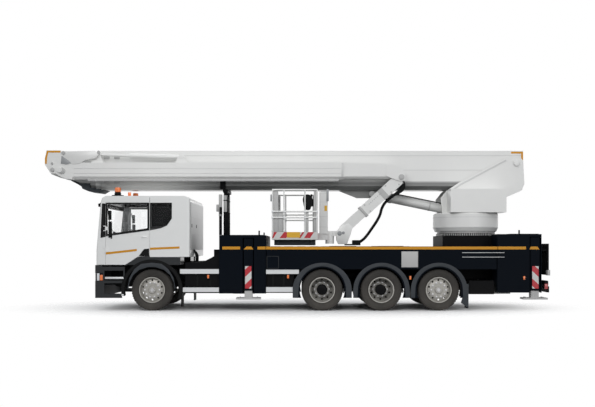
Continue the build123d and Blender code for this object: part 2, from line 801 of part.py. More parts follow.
# ---- turret ---------------------------------------------------------------
cheek_in = boom_width / 2 + 30
cheek_out = cheek_in + 30
pivot_x, pivot_z = luff_pivot
drum_profile = [
    (0, ring_top + fit_gap), (690, ring_top + fit_gap), (700, drum_bottom),
    (drum_radius - 40, drum_bottom), (drum_radius, drum_bottom + 90), (drum_radius, drum_top - 25),
    (drum_radius - 25, drum_top), (0, drum_top),
]
turret = revolve(
    make_face(Polyline(*[(slew_x + r, 0, z) for r, z in drum_profile], close=True)),
    Axis((slew_x, 0, 0), (0, 0, 1)),
)
cheek_outline = [
    (-3640, drum_top - 1), (-3600, 2660), (-3740, 2840), (-4060, 3050), (-5180, pivot_z + 130),
    (-5330, pivot_z + 170), (-5520, pivot_z + 170), (-5610, pivot_z + 60), (-5640, 3000),
    (-5560, 2840), (-5230, 2700), (-5000, 2560), (-4960, drum_top - 1),
]
for offset in (-1, 1):
    low, high = sorted((boom_middle_y + offset * cheek_in, boom_middle_y + offset * cheek_out))
    turret += side_plate(cheek_outline, low, high)
turret += block((-5010, -4930), (boom_middle_y - cheek_in - 1, boom_middle_y + cheek_in + 1),
                (drum_top - 1, 2560))
turret -= lateral_bar(pivot_x, pivot_z, luff_pin_radius + fit_gap, -900, 900)
slot_half = cylinder_radius + 3 * running_gap
turret -= block(
    (luff_base_eye[0] - slot_half - 10, slew_x + drum_radius + 1),
    (boom_middle_y - slot_half, boom_middle_y + slot_half),
    (luff_base_eye[1] - slot_half, drum_top + 1),
)
turret += lateral_bar(
    luff_base_eye[0], luff_base_eye[1], base_pin_radius,
    boom_middle_y - cheek_in - 1, boom_middle_y + cheek_in + 1,
)
save("turret", turret)

cabinet_in = boom_middle_y + cheek_out
cabinet = block((-5060, -3740), (cabinet_in, 760), (drum_top + 4, 2850))
cabinet_right = block((-5000, -3760), (-1080, boom_middle_y - cheek_out), (drum_top + 4, 2800))
save("turret_cabinets", cabinet + cabinet_right)


# ---- main boom ------------------------------------------------------------
section_rows = (  # name, x low, x high
    ("main_boom_base", boom_rear_x, boom_front_x),
    ("main_boom_middle", boom_rear_x + 260, boom_front_x + 130),
    ("main_boom_top", boom_rear_x + 420, boom_front_x + 260),
)
sections = {}
for index, (name, x_low, x_high) in enumerate(section_rows):
    shrink = index * (boom_plate + boom_gap)
    tube = box_tube(
        x_low, x_high, boom_middle_y, boom_width - 2 * shrink,
        boom_bottom + shrink, boom_top - shrink, boom_chamfer - shrink / 2, boom_plate,
    )
    if index < len(section_rows) - 1:
        tube += wear_pads(
            x_high - 120, x_high - 20, boom_middle_y, boom_width / 2 - 150,
            boom_bottom + shrink + boom_plate, boom_top - shrink - boom_plate, boom_gap,
        )
    sections[name] = tube
base = sections["main_boom_base"]
for offset in (-1, 1):
    low, high = sorted((
        boom_middle_y + offset * (boom_width / 2 - 6), boom_middle_y + offset * (cheek_in - 8)
    ))
    base += lateral_bar(pivot_x, pivot_z, 130, low, high)
    low, high = sorted((
        boom_middle_y + offset * (boom_width / 2 - 6), boom_middle_y + offset * (cheek_out + 20)
    ))
    base += lateral_bar(pivot_x, pivot_z, luff_pin_radius, low, high)
eye_x, eye_z = luff_rod_eye
bracket_outline = [
    (eye_x + 820, boom_bottom + 1), (eye_x + 360, eye_z - 90), (eye_x - 90, eye_z - 90),
    (eye_x - 160, boom_bottom + 1),
]
for offset in (-1, 1):
    plate_in = rod_eye_half + fit_gap
    low, high = sorted((boom_middle_y + offset * plate_in, boom_middle_y + offset * (plate_in + 35)))
    base += side_plate(bracket_outline, low, high)
    low, high = sorted((
        boom_middle_y + offset * (plate_in + 34), boom_middle_y + offset * (plate_in + 60)
    ))
    base += lateral_bar(eye_x, eye_z, 60, low, high)
save("main_boom_base", base)
save("main_boom_middle", sections["main_boom_middle"])

elbow_x, elbow_z = elbow_pivot
head = sections["main_boom_top"]
head_front = boom_front_x + 260
shrink = 2 * (boom_plate + boom_gap)
head_outline = [
    (head_front - 10, boom_bottom + shrink + 70), (head_front - 10, boom_top - shrink - 30),
    (5560, boom_top - shrink - 30), (5925, boom_top - shrink - 160), (5925, elbow_z - 60),
    (5700, elbow_z - 150), (5437, 3108), (5208, 2990),
]
head_high = boom_middle_y + boom_width / 2 - shrink
for offset in (-1, 1):
    low, high = sorted((
        boom_middle_y + offset * (boom_width / 2 - shrink - 40),
        boom_middle_y + offset * (boom_width / 2 - shrink),
    ))
    head += side_plate(head_outline, low, high)
head += block((head_front - 30, head_front - 2), (boom_middle_y - 200, boom_middle_y + 200),
              (boom_bottom + shrink + 4, boom_top - shrink - 4))
upper_low = upper_middle_y - upper_width / 2
upper_high = upper_middle_y + upper_width / 2
head += lateral_bar(elbow_x, elbow_z, elbow_pin_radius, head_high - 5, upper_high + 45)
save("main_boom_top", head)

# ---- upper boom -----------------------------------------------------------
upper = box_tube(upper_rear_x, upper_front_x, upper_middle_y, upper_width,
                 upper_bottom, upper_top, upper_chamfer, 10)
knuckle_outline = [
    (upper_front_x - 40, upper_bottom + 5), (upper_front_x - 40, upper_top - 5),
    (4980, 3600), (4960, 3660), (5500, 3680), (5560, 3790), (5905, 3790), (5945, 3600),
    (5945, 3450), (5815, 3245), (5700, 3240), (5560, 3155), (5430, upper_bottom + 8),
]
for offset in (-1, 1):
    low, high = sorted((
        upper_middle_y + offset * (upper_width / 2 - 25), upper_middle_y + offset * upper_width / 2
    ))
    upper += side_plate(knuckle_outline, low, high)
elbow_rod_eye = (4706, 3700)
elbow_base_eye = (2691, 3640)
for x, z in (elbow_rod_eye, elbow_base_eye):
    for offset in (-1, 1):
        low, high = sorted((upper_middle_y + offset * 60, upper_middle_y + offset * 85))
        upper += side_plate(
            [(x - 150, upper_top - 1), (x - 45, z + 50), (x + 45, z + 50), (x + 150, upper_top - 1)],
            low, high,
        )
    upper += lateral_bar(x, z, 32, upper_middle_y - 100, upper_middle_y + 100)
    upper += lateral_bar(x, z, 62, upper_middle_y - 60, upper_middle_y + 60)
rod_start = (elbow_rod_eye[0], upper_middle_y, elbow_rod_eye[1])
rod_end = (elbow_base_eye[0], upper_middle_y, elbow_base_eye[1])
upper += bar(rod_end, rod_start, 34)
barrel_end = tuple(a + 0.62 * (b - a) for a, b in zip(rod_end, rod_start))
upper += bar(rod_end, barrel_end, 58)
upper += block((upper_front_x - 42, upper_front_x - 2), (upper_low + 2, upper_high - 2),
               (upper_bottom + 2, upper_top - 2))
upper -= lateral_bar(
    elbow_x, elbow_z, elbow_pin_radius + fit_gap, upper_low - 10, upper_high + 10
)
upper += wear_pads(upper_rear_x + 10, upper_rear_x + 90, upper_middle_y, 60,
                   upper_bottom + 10, upper_top - 10, 12)
save("upper_boom_base", upper)

inner_shrink = 10 + 12
inner = box_tube(upper_inner_rear_x, upper_front_x - 60, upper_middle_y,
                 upper_width - 2 * inner_shrink, upper_bottom + inner_shrink,
                 upper_top - inner_shrink, upper_chamfer - inner_shrink / 2, 8)
jib_x, jib_z = jib_pivot
tip_outline = [
    (upper_inner_rear_x + 90, upper_top - 50), (upper_inner_rear_x + 90, upper_bottom + 80),
    (upper_inner_rear_x - 60, upper_bottom + 20), (jib_x + 60, jib_z - 90),
    (jib_x - 90, jib_z - 90), (jib_x - 90, jib_z + 90), (jib_x + 20, upper_top - 60),
]
for offset in (-1, 1):
    low, high = sorted((
        upper_middle_y + offset * (upper_width / 2 - inner_shrink - 2),
        upper_middle_y + offset * (upper_width / 2 + 4),
    ))
    inner += side_plate(tip_outline, low, high) - block(
        (upper_rear_x - 400, upper_rear_x + 2000), (0, 900), (2800, 3900))
inner += lateral_bar(
    jib_x, jib_z, jib_pin_radius, upper_middle_y - upper_width / 2, upper_middle_y + upper_width / 2
)
save("upper_boom_top", inner)

# ---- jib ------------------------------------------------------------------
cage_x, cage_z = cage_pivot
jib_length = math.hypot(cage_x - jib_x, cage_z - jib_z)
jib_angle = math.degrees(math.atan2(jib_z - cage_z, cage_x - jib_x))


def on_jib(shape):
    """Turn a shape drawn along +X from the origin onto the jib."""
    return Pos(jib_x, upper_middle_y, jib_z) * Rot(0, jib_angle, 0) * shape


jib_outer_end = jib_length * 0.62
jib_outer = block((60, jib_outer_end), (-jib_width / 2, jib_width / 2),
                  (-jib_height / 2, jib_height / 2))
jib_outer -= block((120, jib_outer_end + 1), (10 - jib_width / 2, jib_width / 2 - 10),
                   (10 - jib_height / 2, jib_height / 2 - 10))
jib_outer += lateral_bar(0, 0, 110, -jib_width / 2, jib_width / 2)
jib_outer += block((0, 90), (-jib_width / 2, jib_width / 2), (-90, 90))
jib_outer -= lateral_bar(0, 0, jib_pin_radius + fit_gap, -jib_width, jib_width)
jib_outer += wear_pads(jib_outer_end - 60, jib_outer_end - 5, 0, 60,
                       10 - jib_height / 2, jib_height / 2 - 10, running_gap)
save("jib_base", on_jib(jib_outer))

inner_half_width = jib_width / 2 - 10 - running_gap
inner_half_height = jib_height / 2 - 10 - running_gap
jib_inner = block((150, jib_length - 110), (-inner_half_width, inner_half_width),
                  (-inner_half_height, inner_half_height))
jib_inner -= block((149, jib_length - 200), (8 - inner_half_width, inner_half_width - 8),
                   (8 - inner_half_height, inner_half_height - 8))
for offset in (-1, 1):
    low, high = sorted((offset * (inner_half_width - 22), offset * inner_half_width))
    jib_inner += side_plate([
        (jib_length - 220, -90), (jib_length + 50, -70), (jib_length + 50, 70),
        (jib_length - 220, 90),
    ], low, high)
jib_inner += lateral_bar(jib_length, 0, cage_pin_radius, -inner_half_width, inner_half_width)
save("jib_top", on_jib(jib_inner))

# ---- cage -----------------------------------------------------------------
mount_low = upper_middle_y - inner_half_width + 30
mount_high = upper_middle_y + inner_half_width - 30
cage_mount = lateral_bar(cage_x, cage_z, 75, mount_low, mount_high)
cage_mount += block((cage_x - 20, -700), (mount_low, mount_high), (cage_z - 60, cage_z + 60))
cage_mount += block((-842, -640), (upper_middle_y - 110, upper_middle_y + 110), (1786, 2815))
cage_mount += upright(-890, upper_middle_y, 105, 1552, cage_z + 30)
cage_mount += block((-880, cage_rear_x), (upper_middle_y - 90, upper_middle_y + 90),
                    (cage_floor, cage_floor + 160))
cage_mount -= lateral_bar(cage_x, cage_z, cage_pin_radius + fit_gap, mount_low - 1, mount_high + 1)
save("cage_mount", cage_mount)

cage = block((cage_rear_x, cage_front_x), (-cage_half_width, cage_half_width),
             (cage_floor, cage_floor + 40))
toe = block((cage_rear_x, cage_front_x), (-cage_half_width, cage_half_width),
            (cage_floor + 38, 1822))
toe -= block((cage_rear_x + 8, cage_front_x - 8), (8 - cage_half_width, cage_half_width - 8),
             (cage_floor, 1830))
cage += toe
rail_heights = (2160, 2300, cage_rail_top - cage_tube)
post_radius = cage_tube - 3
cross_radius = cage_tube - 1
post_xs = (cage_rear_x + cage_tube, -290, 200, cage_front_x - cage_tube)
post_ys = (cage_tube - cage_half_width, -350, 350, cage_half_width - cage_tube)
for x in post_xs:
    for y in post_ys:
        if x in (post_xs[0], post_xs[-1]) or y in (post_ys[0], post_ys[-1]):
            cage += upright(x, y, post_radius, cage_floor + 30, cage_rail_top - cage_tube)
for z in rail_heights:
    for y in (post_ys[0], post_ys[-1]):
        start = (post_xs[0] - 12, y, z)
        cage += bar(start, (post_xs[-1] + 12, y, z), cage_tube)
    for x in (post_xs[0], post_xs[-1]):
        cage += bar((x, post_ys[0], z), (x, post_ys[-1], z), cross_radius)
cage += block((cage_rear_x - 10, cage_rear_x + 30), (120, 600), (1840, 2820))
save("cage", cage)

# ---- luffing cylinder -----------------------------------------------------
base_x, base_z = luff_base_eye
span = math.hypot(eye_x - base_x, eye_z - base_z)
lean = math.degrees(math.atan2(eye_z - base_z, eye_x - base_x))


def on_cylinder(shape):
    """Turn a shape drawn along +X from the origin onto the luffing cylinder."""
    return Pos(base_x, boom_middle_y, base_z) * Rot(0, -lean, 0) * shape


barrel_length = span * 0.86
barrel = Rot(0, 90, 0) * Pos(0, 0, barrel_length / 2 + 60) * Cylinder(
    cylinder_radius, barrel_length - 120
)
barrel -= Rot(0, 90, 0) * Pos(0, 0, barrel_length / 2 + 120) * Cylinder(
    cylinder_radius - 20, barrel_length
)
barrel += lateral_bar(0, 0, 120, -80, 80)
barrel += block((0, 130), (-80, 80), (-80, 80))
barrel -= lateral_bar(0, 0, base_pin_radius + fit_gap, -90, 90)
gland = Rot(0, 90, 0) * Pos(0, 0, barrel_length - 40) * Cylinder(cylinder_radius - 10, 80)
gland -= Rot(0, 90, 0) * Pos(0, 0, barrel_length - 40) * Cylinder(rod_radius + fit_gap, 82)
barrel += gland
save("luff_barrel", on_cylinder(barrel))
rod = Rot(0, 90, 0) * Pos(0, 0, span / 2 + 120) * Cylinder(rod_radius, span - 240 - 80)
rod += lateral_bar(span, 0, 78, -rod_eye_half, rod_eye_half)
rod += block((span - 120, span), (-60, 60), (-60, 60))
save("luff_rod", on_cylinder(rod))
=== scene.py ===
"""Looks, lights and camera for the truck-mounted aerial work platform.

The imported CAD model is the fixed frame. This script paints its nodes, adds the trim that the CAD
leaves out, and sets the lights and the camera. Sizes are metres: +X forward, +Y left, +Z up.
"""

from __future__ import annotations

import json
import logging
import math
from abc import ABC, abstractmethod
from dataclasses import dataclass
from enum import Enum
from functools import partial
from typing import Callable

import bpy
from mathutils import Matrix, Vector

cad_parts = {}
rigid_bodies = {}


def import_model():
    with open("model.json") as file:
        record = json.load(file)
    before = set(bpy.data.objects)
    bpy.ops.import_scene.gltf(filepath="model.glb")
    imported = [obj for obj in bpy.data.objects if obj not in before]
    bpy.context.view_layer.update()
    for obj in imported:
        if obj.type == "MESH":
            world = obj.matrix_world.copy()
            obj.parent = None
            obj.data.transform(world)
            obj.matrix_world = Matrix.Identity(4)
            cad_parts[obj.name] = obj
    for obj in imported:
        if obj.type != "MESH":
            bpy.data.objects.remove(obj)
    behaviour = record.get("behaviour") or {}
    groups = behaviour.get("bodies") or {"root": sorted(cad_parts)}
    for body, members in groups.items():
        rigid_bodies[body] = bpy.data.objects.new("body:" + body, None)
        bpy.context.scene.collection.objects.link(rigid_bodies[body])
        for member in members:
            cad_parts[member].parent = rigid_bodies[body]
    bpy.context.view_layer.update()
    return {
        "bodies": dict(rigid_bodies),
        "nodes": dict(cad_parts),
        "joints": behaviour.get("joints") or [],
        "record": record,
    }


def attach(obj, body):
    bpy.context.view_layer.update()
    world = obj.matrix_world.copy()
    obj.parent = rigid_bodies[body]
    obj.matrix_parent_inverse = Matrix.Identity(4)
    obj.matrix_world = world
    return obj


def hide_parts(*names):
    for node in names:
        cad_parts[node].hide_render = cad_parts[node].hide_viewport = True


LOG = logging.getLogger("aerial_platform")

Point = tuple[float, float, float]
Span = tuple[float, float]
Outline = list[tuple[float, float]]
Colour = tuple[float, float, float]
Obj = bpy.types.Object
Tree = bpy.types.NodeTree
Socket = bpy.types.NodeSocket

SIGNS = (-1, 1)
WHEEL_HEIGHT = 0.48
AXLE_X = {"front": 3.240, "drive_1": -0.686, "drive_2": -2.050, "tag": -3.375}
SLEW_X = -4.240
JIB_PIVOT = (-2.605, 3.150)
CAGE_PIVOT = (-1.124, 1.799)
LUFF_FOOT = (-4.700, 2.215)
LUFF_EYE = (-1.950, 2.780)
LUFF_Y = -0.17
DUST_COLOUR = (0.23, 0.205, 0.175, 1.0)


class Side(Enum):
    """Sides of the truck, with the sign of Y."""

    LEFT = 1
    RIGHT = -1

    @property
    def label(self) -> str:
        """The side's name as the CAD bodies write it."""
        return self.name.lower()


class WheelKind(Enum):
    """How a wheel position is fitted."""

    STEERED = "steered"
    TWIN = "twin"


LEGS = (  # station, side, x of the outrigger leg
    ("front", Side.LEFT, 1.017), ("front", Side.RIGHT, 1.283),
    ("rear", Side.LEFT, -5.596), ("rear", Side.RIGHT, -5.330),
)


# ---- shared shader groups --------------------------------------------------
def add_node(
    tree: Tree,
    kind: str,
    feeds: dict[int | str, Socket] | None = None,
    values: dict[str, object] | None = None,
    **settings: object,
) -> bpy.types.Node:
    """Add a shader node, set it and link what feeds it.

    Args:
        tree: the tree that takes the node.
        kind: the node's type.
        feeds: the sockets that feed its inputs.
        values: the plain values of its other inputs.
        **settings: the node's own settings, such as operation.

    Returns:
        The node.
    """
    node = tree.nodes.new(kind)
    for key, setting in settings.items():
        setattr(node, key, setting)
    for key, value in (values or {}).items():
        node.inputs[key].default_value = value
    for key, socket in (feeds or {}).items():
        tree.links.new(socket, node.inputs[key])
    return node


def new_group(
    name: str, outputs: dict[str, str], inputs: dict[str, str] | None = None
) -> tuple[Tree, bpy.types.Node, bpy.types.Node]:
    """Make a shader node group with its sockets.

    Args:
        name: the group's name.
        outputs: kind of each output by its name.
        inputs: kind of each input by its name.

    Returns:
        The group, its input node and its output node.
    """
    group = bpy.data.node_groups.new(name, "ShaderNodeTree")
    for socket, kind in (inputs or {}).items():
        group.interface.new_socket(name=socket, in_out="INPUT", socket_type=kind)
    for socket, kind in outputs.items():
        group.interface.new_socket(name=socket, in_out="OUTPUT", socket_type=kind)
    return group, group.nodes.new("NodeGroupInput"), group.nodes.new("NodeGroupOutput")


def object_place(tree: Tree) -> Socket:
    """Add the object's own coordinates.

    Args:
        tree: the tree that takes the node.

    Returns:
        The socket of the coordinates.
    """
    return add_node(tree, "ShaderNodeTexCoord").outputs["Object"]


def times(tree: Tree, first: Socket, second: Socket) -> Socket:
    """Multiply two sockets.

    Args:
        tree: the tree that they are in.
        first: one socket.
        second: the other socket.

    Returns:
        The product's socket.
    """
    return add_node(
        tree, "ShaderNodeMath", {0: first, 1: second}, operation="MULTIPLY"
    ).outputs[0]


def ramp(tree: Tree, value: Socket, span: Span, result: Span = (0.0, 1.0)) -> Socket:
    """Turn a value's span into another span, clamped.

    Args:
        tree: the tree that it is in.
        value: the socket that is read.
        span: the values that give the ends of the result.
        result: what comes out at the ends.

    Returns:
        The result's socket.
    """
    ends = {"From Min": span[0], "From Max": span[1], "To Min": result[0], "To Max": result[1]}
    return add_node(tree, "ShaderNodeMapRange", {"Value": value}, ends).outputs["Result"]


def distance(tree: Tree, value: Socket, middle: float) -> Socket:
    """How far a value lies from a middle.

    Args:
        tree: the tree that it is in.
        value: the socket that is read.
        middle: the value that gives nought.

    Returns:
        The distance's socket.
    """
    shifted = add_node(tree, "ShaderNodeMath", {0: value}, operation="SUBTRACT")
    shifted.inputs[1].default_value = middle
    return add_node(
        tree, "ShaderNodeMath", {0: shifted.outputs[0]}, operation="ABSOLUTE"
    ).outputs[0]


def road_dust_group() -> Tree:
    """Dust that thickens towards the road, broken up by noise.

    Returns:
        A group that turns Amount into a mask, named Mask.
    """
    group, entry, out = new_group(
        "road_dust", {"Mask": "NodeSocketFloat"}, {"Amount": "NodeSocketFloat"}
    )
    place = object_place(group)
    split = add_node(group, "ShaderNodeSeparateXYZ", {0: place})
    noise = add_node(
        group, "ShaderNodeTexNoise", {"Vector": place}, {"Scale": 3.5, "Detail": 6.0}
    )
    height = ramp(group, split.outputs["Z"], (1.5, 0.1), (0.12, 1.0))
    patchy = times(group, height, noise.outputs["Fac"])
    group.links.new(times(group, patchy, entry.outputs["Amount"]), out.inputs["Mask"])
    return group


def surface_grain_group() -> Tree:
    """Fine orange-peel or cast grain as a bumped normal.

    Returns:
        A group that turns Scale and Strength into a Normal.
    """
    group, entry, out = new_group(
        "surface_grain", {"Normal": "NodeSocketVector"},
        {"Scale": "NodeSocketFloat", "Strength": "NodeSocketFloat"},
    )
    noise = add_node(
        group, "ShaderNodeTexNoise",
        {"Vector": object_place(group), "Scale": entry.outputs["Scale"]}, {"Detail": 3.0},
    )
    bump = add_node(
        group, "ShaderNodeBump",
        {"Height": noise.outputs["Fac"], "Strength": entry.outputs["Strength"]},
        {"Distance": 0.002},
    )
    group.links.new(bump.outputs["Normal"], out.inputs["Normal"])
    return group


def cab_lining_group() -> Tree:
    """Painted shade: near black on every face inside the cab, for the dark interior.

    Returns:
        A group that puts out a mask, named Mask.
    """
    group, _, out = new_group("cab_lining", {"Mask": "NodeSocketFloat"})
    split = add_node(group, "ShaderNodeSeparateXYZ", {0: object_place(group)})
    across, along, height = (
        ramp(group, distance(group, split.outputs[axis], middle), reach)
        for axis, middle, reach in (
            ("Y", 0.0, (1.232, 1.229)), ("X", 3.42, (1.045, 1.040)), ("Z", 1.85, (0.742, 0.738)),
        )
    )
    group.links.new(times(group, times(group, across, along), height), out.inputs["Mask"])
    return group


def boom_shadow_group() -> Tree:
    """Painted shade on the lower strip of the main boom, with a painted sheen that lightens it
    where the light glances off it.

    Returns:
        A group that puts out a mask, named Mask.
    """
    group, _, out = new_group("boom_shadow", {"Mask": "NodeSocketFloat"})
    split = add_node(group, "ShaderNodeSeparateXYZ", {0: object_place(group)})
    strip = ramp(group, split.outputs["Z"], (3.085, 3.040))
    glance = ramp(group, distance(group, split.outputs["X"], 3.6), (0.3, 2.0), (0.05, 0.86))
    ahead = ramp(group, split.outputs["X"], (-4.9, -4.5))
    group.links.new(times(group, times(group, strip, glance), ahead), out.inputs["Mask"])
    return group


def gear_root_group() -> Tree:
    """Painted shade in the roots between the slewing ring's teeth.

    Returns:
        A group that puts out a mask, named Mask.
    """
    group, _, out = new_group("gear_root", {"Mask": "NodeSocketFloat"})
    flat = add_node(
        group, "ShaderNodeMapping", {"Vector": object_place(group)},
        {"Location": (-SLEW_X, 0.0, 0.0), "Scale": (1.0, 1.0, 0.0)},
    )
    reach = add_node(
        group, "ShaderNodeVectorMath", {0: flat.outputs["Vector"]}, operation="LENGTH"
    )
    mask = ramp(group, reach.outputs["Value"], (0.704, 0.710), (1.0, 0.0))
    group.links.new(mask, out.inputs["Mask"])
    return group


@dataclass(frozen=True)
class Finish:
    """A procedural finish.

    Args:
        name: material name.
        colour: linear base colour.
        roughness: surface roughness.
        metallic: how metallic it is.
        coat: clear-coat weight.
        dust: how much road dust it holds.
        grain_scale: size of the bump pattern.
        grain: strength of the bump pattern.
        variation: how far the colour drifts from place to place.
        transmission: how clear it is.
        glow: emission strength of its own colour.
        specular: how strongly it mirrors what lies round it.
        alpha: how much of it covers what lies behind.
        mask: the group that says where its second colour lies as painted shade, if it has one.
        second: linear second colour, the colour of the painted shade.
    """

    name: str
    colour: Colour
    roughness: float = 0.45
    metallic: float = 0.0
    coat: float = 0.0
    dust: float = 0.25
    grain_scale: float = 220.0
    grain: float = 0.05
    variation: float = 0.06
    transmission: float = 0.0
    glow: float = 0.0
    specular: float = 0.5
    alpha: float = 1.0
    mask: str = ""
    second: Colour = (0.0, 0.0, 0.0)

    def build(self, groups: dict[str, Tree]) -> bpy.types.Material:
        """Make the material.

        Args:
            groups: the shared shader groups by name.

        Returns:
            The material.
        """
        material = bpy.data.materials.new(self.name)
        material.use_nodes = True
        tree = material.node_tree
        shader = tree.nodes["Principled BSDF"]
        for socket, value in (
            ("Roughness", self.roughness), ("Metallic", self.metallic),
            ("Coat Weight", self.coat), ("Transmission Weight", self.transmission),
            ("Specular IOR Level", self.specular), ("Alpha", self.alpha),
            ("Emission Strength", self.glow), ("Emission Color", (*self.colour, 1.0)),
        ):
            shader.inputs[socket].default_value = value

        noise = add_node(
            tree, "ShaderNodeTexNoise", {"Vector": object_place(tree)},
            {"Scale": 2.2, "Detail": 5.0},
        )
        darker = [c * (1 - self.variation) for c in self.colour]
        lighter = [min(1.0, c * (1 + self.variation)) for c in self.colour]
        drift = add_node(
            tree, "ShaderNodeMix", {"Factor": noise.outputs["Fac"]},
            {"A": (*darker, 1.0), "B": (*lighter, 1.0)}, data_type="RGBA",
        )
        dust = add_node(
            tree, "ShaderNodeGroup", None, {"Amount": self.dust}, node_tree=groups["road_dust"]
        )
        surface = add_node(
            tree, "ShaderNodeMix",
            {"Factor": dust.outputs["Mask"], "A": drift.outputs["Result"]},
            {"B": DUST_COLOUR}, data_type="RGBA",
        ).outputs["Result"]
        # The second colour is painted shade: inside the cab, on the boom's lower strip and in the
        # gear's tooth roots.
        if self.mask:
            where = add_node(tree, "ShaderNodeGroup", node_tree=groups[self.mask])
            surface = add_node(
                tree, "ShaderNodeMix", {"Factor": where.outputs["Mask"], "A": surface},
                {"B": (*self.second, 1.0)}, data_type="RGBA",
            ).outputs["Result"]
        tree.links.new(surface, shader.inputs["Base Color"])

        grain = add_node(
            tree, "ShaderNodeGroup", None, {"Scale": self.grain_scale, "Strength": self.grain},
            node_tree=groups["surface_grain"],
        )
        tree.links.new(grain.outputs["Normal"], shader.inputs["Normal"])
        return material


FINISHES = (
    Finish("white_paint", (0.76, 0.76, 0.745), 0.34, coat=0.25, dust=0.10, variation=0.025),
    # A darker white: the tone of seams, bands and ribs, and painted shade on the cab's rear panel.
    Finish("white_shade", (0.60, 0.60, 0.595), 0.4, dust=0.10, variation=0.02),
    # Cab paint with painted shade: its mask turns every face inside the cab near black.
    Finish(
        "cab_shell_paint", (0.79, 0.795, 0.785), 0.25, coat=0.3, dust=0.06, variation=0.015,
        mask="cab_lining", second=(0.012, 0.013, 0.015),
    ),
    # Boom paint with painted shade: its mask darkens the main boom's lower strip, less so round x
    # 3.6, where a painted sheen lightens it.
    Finish(
        "boom_paint", (0.76, 0.76, 0.745), 0.34, coat=0.25, dust=0.10, variation=0.025,
        mask="boom_shadow", second=(0.075, 0.080, 0.078),
    ),
    # Gear steel with painted shade: its mask turns the tooth roots, inside radius 0.704, near
    # black.
    Finish(
        "gear_steel", (0.80, 0.80, 0.79), 0.4, metallic=0.2, dust=0.05,
        mask="gear_root", second=(0.006, 0.006, 0.007),
    ),
    Finish("navy_paint", (0.0024, 0.0042, 0.0074), 0.4, dust=0.012, specular=0.03),
    Finish("black_gloss", (0.003, 0.0034, 0.004), 0.16, coat=0.12, dust=0.01, specular=0.10),
    Finish("black_steel", (0.0035, 0.0037, 0.0044), 0.5, dust=0.02, specular=0.05),
    Finish("grey_steel", (0.26, 0.27, 0.28), 0.5, metallic=0.2, dust=0.2),
    Finish("light_grey", (0.46, 0.46, 0.455), 0.5, dust=0.12),
    Finish(
        "black_plastic", (0.005, 0.0055, 0.006), 0.6, dust=0.03, grain_scale=400.0, grain=0.2,
        specular=0.08,
    ),
    Finish(
        "guard_plastic", (0.034, 0.040, 0.046), 0.62, dust=0.1, grain_scale=300.0, grain=0.15,
        specular=0.25,
    ),
    Finish(
        "tyre_rubber", (0.020, 0.019, 0.018), 0.82, dust=0.3, grain_scale=150.0, grain=0.25,
        specular=0.3,
    ),
    Finish("wheel_steel", (0.34, 0.33, 0.305), 0.42, metallic=0.3, dust=0.2),
    Finish("bumper_plastic", (0.021, 0.023, 0.025), 0.6, dust=0.04, grain=0.1, specular=0.2),
    Finish("guard_grey", (0.036, 0.041, 0.047), 0.6, dust=0.03, grain=0.1, specular=0.2),
    Finish("machined_steel", (0.46, 0.46, 0.47), 0.3, metallic=0.7, dust=0.2),
    Finish("chrome_rod", (0.62, 0.63, 0.64), 0.12, metallic=1.0, dust=0.02),
    Finish("aluminium", (0.60, 0.61, 0.62), 0.38, metallic=0.4, dust=0.1),
    Finish("seat_fabric", (0.02, 0.02, 0.023), 0.9, dust=0.03, grain_scale=500.0, grain=0.3),
    Finish("orange_stripe", (0.60, 0.27, 0.022), 0.4, dust=0.03, specular=0.2),
    Finish("orange_tape", (0.66, 0.29, 0.02), 0.4, dust=0.02, specular=0.2),
    Finish("chevron_red", (0.44, 0.010, 0.022), 0.35, dust=0.04),
    Finish("chevron_white", (0.62, 0.62, 0.60), 0.35, dust=0.05),
    Finish("safety_yellow", (0.72, 0.40, 0.02), 0.4, dust=0.04),
    Finish("amber_lens", (0.8, 0.16, 0.008), 0.12, coat=0.8, dust=0.02, glow=0.05),
    Finish("red_lens", (0.42, 0.006, 0.012), 0.12, coat=0.8, dust=0.02, glow=0.03),
    Finish("clear_lens", (0.70, 0.72, 0.74), 0.06, coat=1.0, dust=0.02),
    Finish(
        "glass", (0.60, 0.66, 0.68), 0.02, dust=0.0, grain=0.0, transmission=1.0, specular=0.2,
        alpha=0.08,
    ),
)


class Palette:
    """All materials, made once."""

    def __init__(self) -> None:
        """Build the shared groups and every finish."""
        groups = {
            "road_dust": road_dust_group(),
            "surface_grain": surface_grain_group(),
            "cab_lining": cab_lining_group(),
            "boom_shadow": boom_shadow_group(),
            "gear_root": gear_root_group(),
        }
        self._materials = {finish.name: finish.build(groups) for finish in FINISHES}

    def paint(self, obj: Obj, name: str) -> None:
        """Give an object one finish.

        Args:
            obj: the object.
            name: the finish's name.
        """
        obj.data.materials.clear()
        obj.data.materials.append(self._materials[name])


# ---- places ----------------------------------------------------------------
def spread(middle: float, half: float) -> Span:
    """Two ends round a middle.

    Args:
        middle: the middle.
        half: how far each end lies from it.

    Returns:
        The low and the high end.
    """
    return middle - half, middle + half


def skin_layer(skin: float, depth: float, sink: float = 0.001) -> Span:
    """Near and far distance of a thin layer on a side of the truck.

    Args:
        skin: the surface's distance from the truck's middle.
        depth: how far the layer stands out.
        sink: how far it goes into the surface.

    Returns:
        The two distances from the truck's middle.
    """
    return skin - sink, skin + depth


def along_line(start: Span, end: Span, run: float, rise: float) -> Span:
    """Point given along and across a line in the X, Z plane.

    Args:
        start: X and Z of the line's start.
        end: X and Z of its end.
        run: how far along the line.
        rise: how far across it.

    Returns:
        X and Z of the point.
    """
    length = math.hypot(end[0] - start[0], end[1] - start[1])
    cos, sin = (end[0] - start[0]) / length, (end[1] - start[1]) / length
    return start[0] + run * cos - rise * sin, start[1] + run * sin + rise * cos


# ---- modelling helpers -----------------------------------------------------
def deselect_all() -> None:
    """Leave nothing selected."""
    bpy.ops.object.select_all(action="DESELECT")


